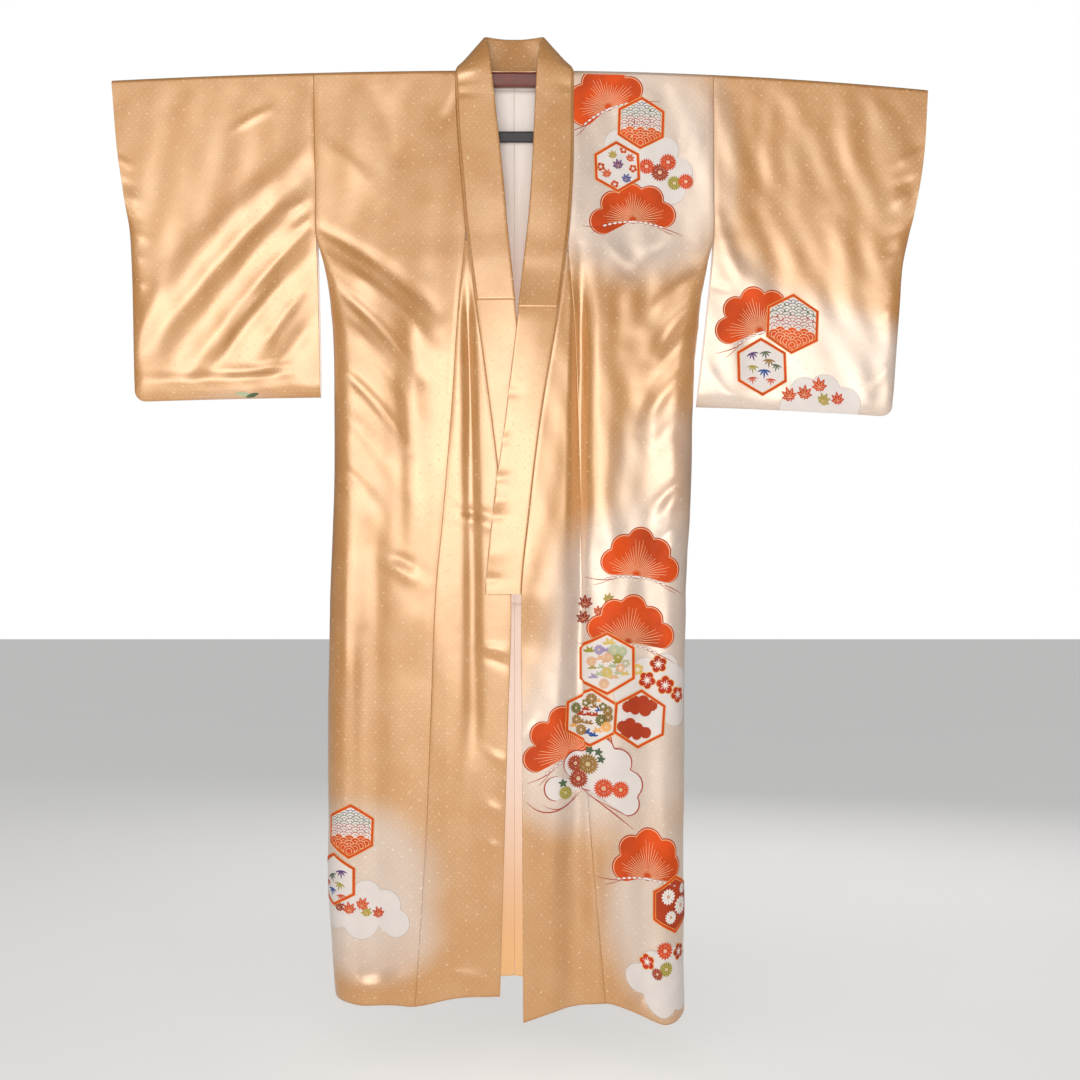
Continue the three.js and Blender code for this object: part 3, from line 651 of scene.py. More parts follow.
class Face:
    """A stretch of cloth as rows, each at one height as it was cut, of points and outward normals."""

    def __init__(self, side, across, levels, points, forward):
        """forward is -1 where the cloth faces the garment's front and 1 where it faces the back."""
        self.across, self.levels = across, levels
        self.points = points.copy()
        if side == "right":
            self.points[..., 0] *= -1
        along = np.gradient(self.points, axis=1)
        up = np.gradient(self.points, axis=0)
        normals = np.cross(along, up)
        normals /= np.maximum(np.linalg.norm(normals, axis=-1, keepdims=True), 1e-9)
        self.normals = normals * (1 if np.median(normals[..., 1]) * forward > 0 else -1)

    def columns_at(self, s, z):
        """The fractional row and column of a place on the cut cloth."""
        row = np.interp(z, self.levels, np.arange(len(self.levels)))
        low = np.clip(np.floor(row).astype(int), 0, len(self.levels) - 2)
        t = (row - low)[:, None]
        line = mix(self.across[low], self.across[low + 1], t)
        i = np.clip((line <= s[:, None]).sum(1) - 1, 0, line.shape[1] - 2)
        k = np.arange(len(s))
        column = i + (s - line[k, i]) / np.maximum(line[k, i + 1] - line[k, i], 1e-6)
        low_z, high_z = self.levels[0], self.levels[-1]
        row = np.where(z < low_z, (z - low_z) / 5.0, row)
        row = np.where(z > high_z, len(self.levels) - 1 + (z - high_z) / 5.0, row)
        return column, row

    def lay(self, column, row, lift):
        """Points lift millimetres off the cloth at fractional columns and rows, and the normals there."""
        j = np.clip(np.floor(column).astype(int), 0, self.points.shape[1] - 2)
        i = np.clip(np.floor(row).astype(int), 0, self.points.shape[0] - 2)
        u, v = (column - j)[:, None], (row - i)[:, None]

        def blend(grid):
            return mix(mix(grid[i, j], grid[i, j + 1], u), mix(grid[i + 1, j], grid[i + 1, j + 1], u), v)

        normal = blend(self.normals)
        normal /= np.linalg.norm(normal, axis=1, keepdims=True)
        return blend(self.points) + normal * lift[:, None], normal


def front_face(side):
    """The front from the overlap's seam to the side, the overlap panel, and both joined below its tip."""
    tip = meet_level[side] - TIP_BELOW
    lower = np.linspace(HEM, tip, round((tip - HEM) / CELL) + 1)
    upper = np.linspace(tip, TOP, round((TOP - tip) / CELL) + 1)[1:]
    name = f"front_{side}"

    def grid(levels, start, end, shares, first_stop):
        z = levels[:, None]
        s0, s1 = start(levels)[:, None], end(levels)[:, None]
        s = s0 + (s1 - s0) * shares[None, :]
        gap = np.minimum(s - s0, s1 - s)
        relief = creased(name, s, z) + rippled(s, z, 3 if side == "left" else 5)
        relief = eased_at_rail(relief + seam_dip(gap) + seam_dip(z - HEM) * 0.6, z)
        points = body_points("front", side, s, z, relief, first_stop + (s - s0) / (s1 - s0))
        return s, points

    panel_levels = np.concatenate([lower, upper])
    seam, end = (lambda z: overlap_seam(side, z)), (lambda z: side_at(side, z))
    s, points = grid(panel_levels, seam, end, stops(PANEL_WIDE, CELL, EDGE_CELL), 1)
    panel = Face(side, s, panel_levels, points, -1)
    s2, points2 = grid(lower, edge_at[side], seam, stops(OVERLAP_WIDE, CELL, EDGE_CELL), 0)
    overlap = Face(side, s2, lower, points2, -1)
    rows = len(lower)
    joined = np.concatenate([points2[:, :-1], points[:rows]], axis=1)
    across = np.concatenate([s2[:, :-1], s[:rows]], axis=1)
    whole = Face(side, across, lower, joined, -1)
    return panel, overlap, whole


def neck_column(side):
    """How far across the neckband's seam meets the rail."""
    return float(edge_at[side](TOP)) + SEAM / 2


def back_face(side):
    """The back from the neck's column to the side, and from the centre seam to the neck's column."""
    levels = np.linspace(HEM, TOP, round((TOP - HEM) / BACK_CELL) + 1)
    z = levels[:, None]
    neck = neck_column(side)
    end = side_at(side, z)

    def grid(s0, s1, shares):
        s = s0 + (s1 - s0) * shares[None, :]
        gap = np.minimum(s - SEAM / 2, end - s)
        relief = creased(f"back_{side}", s, z) + rippled(s, z, 7 if side == "left" else 9)
        relief = eased_at_rail(relief * smooth(s / CENTRE_EASE) + seam_dip(gap), z)
        return s, body_points("back", side, s, z, relief, 3 - s / end)

    s, points = grid(neck, end, stops(PANEL_WIDE, CELL, EDGE_CELL))
    outer = Face(side, s, levels, points, 1)
    s2, points2 = grid(SEAM / 2, neck, stops(NAPE_WIDE, CELL))
    inner = Face(side, s2, levels, points2, 1)
    return outer, inner


def over_rail(front_row, back_row):
    """Rows of points over the rail between the front's top row and the back's."""
    rows = []
    angles = [(t * math.pi / 2) for t in (0.15, 0.35, 0.55, 0.75, 1)]
    arcs = [(FOLD_CENTRE + FOLD_RADIUS * math.cos(a), FOLD_RADIUS * math.sin(a)) for a in angles]
    for start, sign, steps in ((front_row, -1, arcs), (back_row, 1, arcs[::-1])):
        for away, rise in steps:
            row = start.copy()
            row[:, 1] = mix(start[:, 1], sign * away, smooth(rise / FOLD_RADIUS * 1.3))
            row[:, 2] += rise
            rows.append(row)
    return np.array(rows)


def sleeve_grid(side, sign, levels_down, shares):
    """Points of a sleeve's front (sign -1) or back (sign 1)."""
    down = levels_down[:, None]
    across = shares[None, :]
    fallen = down * SLEEVE["length"]
    z = TOP - fallen
    inner = np.where(z >= ARMHOLE, half_width[side](z) + SEAM / 2, sleeve_inner_at[side](fallen))
    x = mix(inner, sleeve_outer_at[side](fallen), across)
    at_body = depth_at["front_side" if sign < 0 else "back_side"](np.maximum(z, ARMHOLE))
    depth = mix(at_body, SLEEVE["bag"], smooth(across / SLEEVE["bag_from"])) * (1 - SLEEVE["taper"] * down)
    closed = smooth((fallen - SLEEVE["wrist"]) / SLEEVE["closing"] + 1)

    def quarter_round(t):
        return np.sqrt(1 - np.clip(t, 0, 1) ** 2)

    near_cuff = quarter_round((across - SLEEVE_ROUND["cuff"]) / (1 - SLEEVE_ROUND["cuff"]))
    near_foot = quarter_round((down - SLEEVE_ROUND["foot"]) / (1 - SLEEVE_ROUND["foot"]))
    held = near_foot * mix(1, near_cuff, closed)
    low, high = SLEEVE_FOOT_RISE[side]
    rise = mix(low, high, across) * down * down
    turned = (across - SLEEVE_ROUND["corner_from"]) / (1 - SLEEVE_ROUND["corner_from"])
    cornered = SLEEVE_ROUND["corner"] * (1 - quarter_round(turned))
    cornered = cornered * smooth((down - SLEEVE_ROUND["corner_down"]) / 0.1)
    name = "sleeve_back" if sign > 0 else f"sleeve_{side}"
    relief = creased(name, x, z) + rippled(x, z, 11 + sign if side == "left" else 15 + sign)
    relief = relief * smooth(down / 0.08) * smooth(held)
    relief = relief + np.where(z >= ARMHOLE, seam_dip(x - inner), 0) * smooth(down / 0.04)
    limit = np.minimum(depth * held * 0.9 + 5, 12)
    y = depth * held + np.clip(relief, -depth * held * 0.85, limit)
    drop = -RAIL_DROP[side] * (x / RAIL_HALF) ** 2
    points = np.stack([x, sign * y, z + drop + rise + cornered], axis=-1)
    return x, points


def sleeve_faces(side):
    """The front and back of a sleeve as faces from its foot up."""
    even = stops(SLEEVE["length"], SLEEVE_CELL)
    foot = 1 - (1 - SLEEVE_ROUND["foot"]) * (1 - np.sin(np.linspace(0, math.pi / 2, 9)))
    levels_down = np.concatenate([even[even < SLEEVE_ROUND["foot"] - 0.004], foot])
    flat = stops(SLEEVE_WIDE, SLEEVE_CELL)
    cuff = 1 - (1 - SLEEVE_ROUND["cuff"]) * (1 - np.sin(np.linspace(0, math.pi / 2, 9)))
    near = np.array([0.3 * EDGE_CELL, EDGE_CELL]) / SLEEVE_WIDE
    inner = flat[(flat > near[1] * 1.6) & (flat < SLEEVE_ROUND["cuff"] - 0.006)]
    shares = np.concatenate([[0], near, inner, cuff])
    faces = []
    for sign in (-1, 1):
        x, points = sleeve_grid(side, sign, levels_down[::-1], shares)
        levels = TOP - levels_down[::-1] * SLEEVE["length"]
        faces.append(Face(side, x, levels, points, sign))
    return faces


def catmull(rows, count):
    """Points on a smooth curve through rows, count to a stretch, from the second row to the last but one."""
    rows = np.array(rows, float)
    out = []
    for k in range(1, len(rows) - 2):
        p0, p1, p2, p3 = rows[k - 1 : k + 3]
        for t in np.arange(count) / count:
            second = (2 * p0 - 5 * p1 + 4 * p2 - p3) * t**2
            third = (3 * p1 - p0 - 3 * p2 + p3) * t**3
            out.append(0.5 * (2 * p1 + (p2 - p0) * t + second + third))
    return np.array(out)


def band_half(side):
    """The neckband's seam and free edge for one half, from its lower end to the middle of the back."""
    levels = np.linspace(BAND_FOOT, BAND_JOIN, round((BAND_JOIN - BAND_FOOT) / BAND_CELL) + 1)
    seam_x = edge_at[side](levels) - SEAM
    free_x = seam_x - band_wide_at[side](levels)

    def at(x):
        return np.stack([x, front_y(side, x, levels), levels + bow(side, x, levels)], axis=-1)

    low = np.concatenate([at(seam_x), at(free_x)], axis=1)
    top = []
    for r in BAND_TOP:
        shift = BAND_SHIFT[side] if r["seam_x"] > 0 else 0
        top.append([r["seam_x"] + shift, r["seam_y"], r["seam_z"], r["free_x"], r["free_y"], r["free_z"]])
    beyond = [-top[-2][0], *top[-2][1:3], -top[-2][3], *top[-2][4:]]
    high = catmull([low[-2], low[-1], *top, beyond], 6)
    last = np.array(top[-1])[None]
    return np.concatenate([low[:-1], high, last])


def band_rows():
    """The seam's and the free edge's points, from the left lower end round the neck to the right one."""
    left, right = band_half("left"), band_half("right")
    right = right[::-1][1:].copy()
    right[:, (0, 3)] *= -1
    rows = np.concatenate([left, right])
    return rows[:, :3], rows[:, 3:]


BAND_DENTS = table(
    "side z t high long wide",
    ("right", -488, 0.1, -1.6, 9, 0.3),
    ("left", -500, 0.08, -1.5, 8, 0.25),
    ("left", -573, 0.06, -1.6, 9, 0.22),
    ("left", -632, 0.08, -1.9, 8, 0.3),
    ("left", -667, 0.1, 1.4, 9, 0.3),
    ("left", -692, 0.08, -1.9, 8, 0.3),
    ("left", -750, 0.1, 1.2, 14, 0.4),
    ("left", -790, 0.1, -1.7, 8, 0.35),
    ("right", -6, 0.8, -1.8, 5, 0.35),
    ("right", 6, 0.75, 1.5, 4, 0.3),
    ("right", -24, 0.8, -1.4, 6, 0.3),
    ("left", -14, 0.8, -1.3, 6, 0.3),
    ("left", -210, 0.55, 0.8, 40, 0.35),
    ("right", -180, 0.5, 0.8, 46, 0.35),
    ("right", -300, 0.4, -0.7, 36, 0.3),
    ("left", -430, 0.6, 0.8, 40, 0.3),
    ("left", -600, 0.5, -0.6, 50, 0.3),
)


def band_surface(seam, free, profile):
    """Points of the neckband's surface. Each stop of the profile is (share from the free edge to the seam,
    distance off the middle, distance past the free edge)."""
    across = seam - free
    width = np.linalg.norm(across, axis=1, keepdims=True)
    across = across / width
    along = np.gradient((seam + free) / 2, axis=0)
    normal = np.cross(along, across)
    normal /= np.linalg.norm(normal, axis=1, keepdims=True)
    if normal[0, 1] > 0:
        normal[0] *= -1
    for k in range(1, len(normal)):
        if normal[k] @ normal[k - 1] < 0:
            normal[k] *= -1
    on_left = np.arange(len(seam)) <= len(seam) // 2
    on_side = {"left": on_left, "right": ~on_left}
    stations = []
    for share, off, past in profile:
        dent = np.zeros((len(seam), 1))
        if off > 0:
            for d in BAND_DENTS:
                reach = ((seam[:, 2] - d["z"]) / d["long"]) ** 2 + ((share - d["t"]) / d["wide"]) ** 2
                dent[:, 0] += d["high"] * np.exp(-reach) * on_side[d["side"]]
        stations.append(free + across * (share * width - past) + normal * (off + dent * min(1, off / 1.5)))
    return np.stack(stations, axis=1)


def band_profile(raise_by):
    """Stops round the folded neckband: along its outer face to the free edge, round it and back inside."""
    stops_out = [1, 0.985, 0.955, 0.91, 0.85, 0.77, 0.68, 0.58, 0.48, 0.38, 0.28, 0.19, 0.12, 0.07, 0.035]

    def off(share):
        held = math.sqrt(max(0.0, 1 - max(0.0, (share - 0.93) / 0.07) ** 2)) * 0.8 + 0.2
        return (BAND_HALF + 0.7 * math.sin(math.pi * share) ** 0.8) * held + raise_by

    edge = BAND_HALF + raise_by
    angles = [math.radians(a) for a in (72, 54, 36, 18, 0, -18, -36, -54, -72)]
    rounding = [(0, edge * math.sin(a), edge * math.cos(a) - 0.4) for a in angles]
    outer = [(share, off(share), 0) for share in stops_out]
    inner = [(share, -(BAND_HALF + raise_by), 0) for share in stops_out[::-1]]
    return outer + rounding + inner


# ---------------------------------------------------------------- meshes
def new_mesh_object(name, bm):
    """A smooth object from bm, which is freed."""
    mesh = bpy.data.meshes.new(name)
    bm.to_mesh(mesh)
    bm.free()
    obj = bpy.data.objects.new(name, mesh)
    bpy.context.collection.objects.link(obj)
    mesh.polygons.foreach_set("use_smooth", [True] * len(mesh.polygons))
    return obj


def grid_into(bm, points, u, v, fade, flip):
    """Adds a grid of cloth to bm through create_grid and moves its points to their places. u and v are where
    each point lies on the cut cloth, and fade how far it is dyed off to white."""
    rows, columns = points.shape[:2]
    uv = bm.loops.layers.uv.get("cloth") or bm.loops.layers.uv.new("cloth")
    dyed = bm.verts.layers.float.get("dyed_off") or bm.verts.layers.float.new("dyed_off")
    made = bmesh.ops.create_grid(bm, x_segments=columns - 1, y_segments=rows - 1, size=0.5)["verts"]
    faces = set()
    index = {}
    for vert in made:
        j = round((vert.co.x + 0.5) * (columns - 1))
        i = round((vert.co.y + 0.5) * (rows - 1))
        index[vert] = (i, j)
        vert.co = Vector(points[i, j]) * MM
        vert[dyed] = fade[i, j]
        faces.update(vert.link_faces)
    for face in faces:
        for loop in face.loops:
            i, j = index[loop.vert]
            loop[uv].uv = (u[i, j] * MM, v[i, j] * MM)
    if flip:
        bmesh.ops.reverse_faces(bm, faces=list(faces))


def facing_flip(points, normals):
    """True where create_grid's faces would look inwards."""
    i, j = points.shape[0] // 3, points.shape[1] // 2
    face = np.cross(points[i, j + 1] - points[i, j], points[i + 1, j] - points[i, j])
    return float((face * normals[i, j]).sum()) < 0


def finish_cloth(obj, thickness, materials):
    """Gives a shell of cloth its thickness, with the first material outside and the second inside."""
    for material in materials:
        obj.data.materials.append(material)
    if thickness:
        solid = obj.modifiers.new("cloth thickness", "SOLIDIFY")
        solid.thickness = thickness * MM
        solid.offset = 0
        solid.use_even_offset = False
        solid.material_offset = 1 if len(materials) > 1 else 0
        solid.material_offset_rim = 0
    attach(obj, BODY)


def merge_close(bm):
    """Joins grids of one piece where their edges meet."""
    bmesh.ops.remove_doubles(bm, verts=bm.verts[:], dist=SAME_PLACE * MM)


# ---------------------------------------------------------------- materials
class Nodes:
    """A small helper that adds nodes to a material and links them."""

    def __init__(self, name):
        self.material = bpy.data.materials.new(name)
        self.material.use_nodes = True
        self.tree = self.material.node_tree
        self.shader = self.tree.nodes["Principled BSDF"]

    def add(self, kind, inputs=None, **settings):
        node = self.tree.nodes.new(kind)
        for key, value in settings.items():
            setattr(node, key, value)
        for key, value in (inputs or {}).items():
            self.put(node, key, value)
        return node

    def put(self, node, key, value):
        socket = node.inputs[key]
        if isinstance(value, bpy.types.NodeSocket):
            self.tree.links.new(value, socket)
        else:
            socket.default_value = value

    def math(self, operation, *values, clamp=False):
        node = self.add("ShaderNodeMath", operation=operation, use_clamp=clamp)
        for i, value in enumerate(values):
            self.put(node, i, value)
        return node.outputs[0]

    def mix(self, share, a, b):
        node = self.add("ShaderNodeMix", data_type="RGBA")
        for key, value in ((0, share), (6, a), (7, b)):
            self.put(node, key, value)
        return node.outputs[2]

    def place(self):
        return self.add("ShaderNodeTexCoord").outputs["Object"]

    def noise(self, vector, scale, detail=2.0, output="Fac"):
        node = self.add("ShaderNodeTexNoise", {"Vector": vector, "Scale": scale, "Detail": detail})
        return node.outputs[output]

    def vector_math(self, operation, first, second):
        node = self.add("ShaderNodeVectorMath", {0: first}, operation=operation)
        self.put(node, "Scale" if operation == "SCALE" else 1, second)
        return node.outputs[0]

    def grade(self, value, start, end):
        """A soft step from 0 to 1 between two values."""
        inputs = {"Value": value, "From Min": start, "From Max": end}
        return self.add("ShaderNodeMapRange", inputs, interpolation_type="SMOOTHSTEP").outputs[0]

    def bump(self, height, distance, strength=1.0, below=None):
        node = self.add("ShaderNodeBump", {"Height": height, "Distance": distance, "Strength": strength})
        if below is not None:
            self.put(node, "Normal", below)
        return node.outputs["Normal"]

    def finish(self, inputs):
        """Sets the shader's inputs and returns the material."""
        for key, value in inputs.items():
            self.put(self.shader, key, value)
        return self.material


def silk_weave(nodes, vector, pitch):
    """The height of a fine weave, threads a pitch apart."""
    split = nodes.add("ShaderNodeSeparateXYZ", {0: vector})
    warp = nodes.math("SINE", nodes.math("MULTIPLY", split.outputs[0], 2 * math.pi / pitch))
    weft = nodes.math("SINE", nodes.math("MULTIPLY", split.outputs[1], 2 * math.pi / pitch))
    return nodes.math("MULTIPLY", warp, weft)


def lattice_dots(nodes, vector, pitch_x, pitch_y, radius):
    """1 inside dots set in a staggered lattice, and 0 between them, softly."""
    split = nodes.add("ShaderNodeSeparateXYZ", {0: vector})

    def one(shift):
        x = nodes.math("ADD", nodes.math("DIVIDE", split.outputs[0], pitch_x), shift)
        y = nodes.math("ADD", nodes.math("DIVIDE", split.outputs[1], pitch_y), shift)
        x = nodes.math("MULTIPLY", nodes.math("SUBTRACT", nodes.math("FRACT", x), 0.5), pitch_x)
        y = nodes.math("MULTIPLY", nodes.math("SUBTRACT", nodes.math("FRACT", y), 0.5), pitch_y)
        square = nodes.math("ADD", nodes.math("MULTIPLY", x, x), nodes.math("MULTIPLY", y, y))
        away = nodes.math("SQRT", square)
        return nodes.math("MULTIPLY", nodes.math("SUBTRACT", radius, away), 2.2 / radius, clamp=True)

    return nodes.math("MAXIMUM", one(0.0), one(0.5))


# Lattices of the woven figure, in metres: the pitch across and along, and a dot's radius.
GROUND_DOTS = (0.0052, 0.0044, 0.00105)
LARGE_DOTS = (0.029, 0.023, 0.0019)
SMALL_DOTS = (0.0098, 0.0112, 0.0013)
STRAY = 0.016  # how far the larger dots stray from their lattice
FIGURE_SHARE = 0.46  # how much paler than the ground the figure is
THREAD_PITCH = 0.0011
LINING_PITCH = 0.0008
PAINTED_GLOW_HEIGHTS = (-0.12, -0.42)  # heights between which the linings' painted glow comes in


def satin_material(settings):
    """Gold satin with a fine woven figure, dyed off to white where the cloth's dyed_off attribute says."""
    nodes = Nodes("figured satin")
    cut = nodes.add("ShaderNodeUVMap", uv_map="cloth").outputs[0]
    dyed = nodes.add("ShaderNodeAttribute", attribute_name="dyed_off").outputs["Fac"]
    stray = nodes.vector_math("SUBTRACT", nodes.noise(cut, 26.0, 2.0, "Color"), (0.5, 0.5, 0.5))
    loose = nodes.vector_math("ADD", cut, nodes.vector_math("SCALE", stray, STRAY))
    ground, large, small = (
        lattice_dots(nodes, vector, *(size * settings.figure_scale for size in sizes))
        for vector, sizes in ((cut, GROUND_DOTS), (loose, LARGE_DOTS), (loose, SMALL_DOTS))
    )
    patch = nodes.noise(cut, 16.0)
    cloudy = nodes.math("MULTIPLY", nodes.math("SUBTRACT", patch, 0.42), 4.0, clamp=True)
    figure = nodes.math("MULTIPLY", ground, nodes.math("MULTIPLY", cloudy, 0.75))
    small = nodes.math("MULTIPLY", small, nodes.math("MULTIPLY", patch, 0.9))
    figure = nodes.math("MAXIMUM", figure, small)
    uneven = nodes.math("SUBTRACT", nodes.noise(cut, 23.0, 1.0), 0.36)
    uneven = nodes.math("MULTIPLY", uneven, 3.6, clamp=True)
    figure = nodes.math("MAXIMUM", figure, nodes.math("MULTIPLY", large, uneven))
    gold = nodes.mix(nodes.noise(cut, 5.0, 3.0), settings.gold, settings.gold_deep)
    colour = nodes.mix(dyed, gold, settings.dyed_white)
    lit = nodes.mix(dyed, srgb("fbe6c0"), srgb("fffaf4"))
    normal = nodes.bump(nodes.noise(cut, 34.0), 0.0022, 0.16)
    normal = nodes.bump(figure, 0.00022, 0.4, normal)
    normal = nodes.bump(silk_weave(nodes, cut, THREAD_PITCH), 0.00006, 0.12, normal)
    return nodes.finish({
        "Base Color": nodes.mix(nodes.math("MULTIPLY", figure, FIGURE_SHARE), colour, lit),
        "Roughness": nodes.math("ADD", nodes.math("MULTIPLY", figure, 0.4), settings.satin_roughness),
        "Normal": normal,
        "Metallic": 0.1,
        "IOR": 1.75,
        "Specular IOR Level": 1.0,
        "Specular Tint": srgb("ffeccb"),
        "Anisotropic": 0.3,
        "Coat Weight": 0.45,
        "Coat IOR": 1.95,
        "Coat Roughness": 0.33,
        "Sheen Weight": 0.06,
        "Sheen Roughness": 0.42,
        "Sheen Tint": srgb("ffe6bd"),
    })


def plain_silk(name, colour, glow, low=None, from_z=0.0, to_z=0.0):
    """Plain silk with a soft shine, shaded between two heights if it has a second colour. It gives off a
    faint painted glow below the chest, in place of light that would come through the thin cloth from behind."""
    nodes = Nodes(name)
    split = nodes.add("ShaderNodeSeparateXYZ", {0: nodes.place()})
    flat = nodes.add("ShaderNodeCombineXYZ", {0: split.outputs[0], 1: split.outputs[2]}).outputs[0]
    height = split.outputs[2]
    tone = nodes.mix(nodes.grade(height, from_z, to_z), colour, low) if low else colour
    darker = {"Color": tone, "Value": 0.93, "Saturation": 1.1}
    darker = nodes.add("ShaderNodeHueSaturation", darker).outputs[0]
    tone = nodes.mix(nodes.noise(flat, 9.0, 3.0), tone, darker)
    normal = nodes.bump(nodes.noise(flat, 26.0, 3.0), 0.003, 0.35)
    normal = nodes.bump(silk_weave(nodes, flat, LINING_PITCH), 0.00005, 0.3, normal)
    return nodes.finish({
        "Base Color": tone,
        # Painted glow: the silk's own colour given off faintly below the chest, standing in for light through
        # the cloth.
        "Emission Color": nodes.mix(nodes.grade(height, *PAINTED_GLOW_HEIGHTS), (0, 0, 0, 1), tone),
        "Emission Strength": glow,
        "Normal": normal,
        "Roughness": 0.5,
        "Sheen Weight": 0.2,
    })


PAINTS = {
    "pine": "e4500e",
    "pine_line": "a32c14",
    "needle": "f0b98c",
    "frame": "d8470f",
    "gold_thread": "eda74e",
    "plum": "cb3511",
    "maple_deep": "8f1f16",
    "maple": "d2491a",
    "kiku": "dc4e1c",
    "kiku_deep": "a8401f",
    "rust": "b43c18",
    "bloom_brown": "9c7434",
    "olive": "a89a3c",
    "olive_deep": "6f6a2c",
    "leaf": "56674a",
    "blue": "1d4f9c",
    "indigo": "3a3a70",
    "purple": "5d2f72",
    "lilac": "a993b8",
    "yellow": "ddc06a",
    "peach": "e7b48c",
    "sage": "b9c09a",
    "white": "eee6df",
    "cloud": "e2d8d2",
    "cloud_line": "c9bbb4",
    "twig": "b03418",
}


def paint_material(name):
    """Silk dyed or stitched in one colour, a little uneven."""
    nodes = Nodes(f"paint {name}")
    place = nodes.place()
    colour = srgb(PAINTS[name])
    shaded = name in ("pine", "plum")
    deep = 0.95 if name in ("white", "cloud", "needle") else 0.55 if shaded else 0.78
    darker = tuple(c * deep for c in colour[:3]) + (1.0,)
    spots = nodes.noise(place, 15.0 if shaded else 42.0, 3.0)
    spots = nodes.math("MULTIPLY", nodes.math("SUBTRACT", spots, 0.35), 2.4, clamp=True)
    glossy = name in ("gold_thread", "needle", "cloud", "white")
    return nodes.finish({
        "Base Color": nodes.mix(spots, colour, darker),
        "Normal": nodes.bump(nodes.noise(place, 900.0), 0.0003, 0.3),
        "Roughness": 0.42 if glossy else 0.58,
        "Specular IOR Level": 0.5 if glossy else 0.22,
        "Sheen Weight": 0.04,
    })


def lacquer_material():
    """Red-brown lacquer over wood whose grain runs along the rail."""
    nodes = Nodes("red lacquer")
    stretched = nodes.add("ShaderNodeMapping", {"Vector": nodes.place(), "Scale": (6.0, 60.0, 60.0)})
    grain = nodes.noise(stretched.outputs[0], 3.0, 6.0)
    return nodes.finish({
        "Base Color": nodes.mix(grain, srgb("7d2c1c"), srgb("4f170f")),
        "Normal": nodes.bump(grain, 0.0006, 0.25),
        "Roughness": 0.34,
        "Coat Weight": 0.35,
        "Coat Roughness": 0.22,
    })


def black_material():
    """The matt black of the lower bar and its straps."""
    nodes = Nodes("black fittings")
    grain = nodes.noise(nodes.place(), 700.0)
    return nodes.finish({
        "Base Color": nodes.mix(grain, srgb("17161a"), srgb("2b292e")),
        "Normal": nodes.bump(grain, 0.0002, 0.4),
        "Roughness": 0.46,
    })


MATERIALS = {}


def materials(settings):
    """All materials by name, made once."""
    if not MATERIALS:
        MATERIALS["satin"] = satin_material(settings)
        # The white lining, which is also the inside of the satin pieces, and the hem lining give off a faint
        # painted glow, 0.22 and 0.18 strong.
        MATERIALS["lining"] = plain_silk("white lining", srgb("f6ebe4"), 0.22)
        MATERIALS["hem"] = plain_silk("hem lining", srgb("f5e9e1"), 0.18, srgb("e8bd8a"), -1.05, -1.43)
        MATERIALS["lacquer"] = lacquer_material()
        MATERIALS["black"] = black_material()
        for name in PAINTS:
            MATERIALS[name] = paint_material(name)
    return MATERIALS


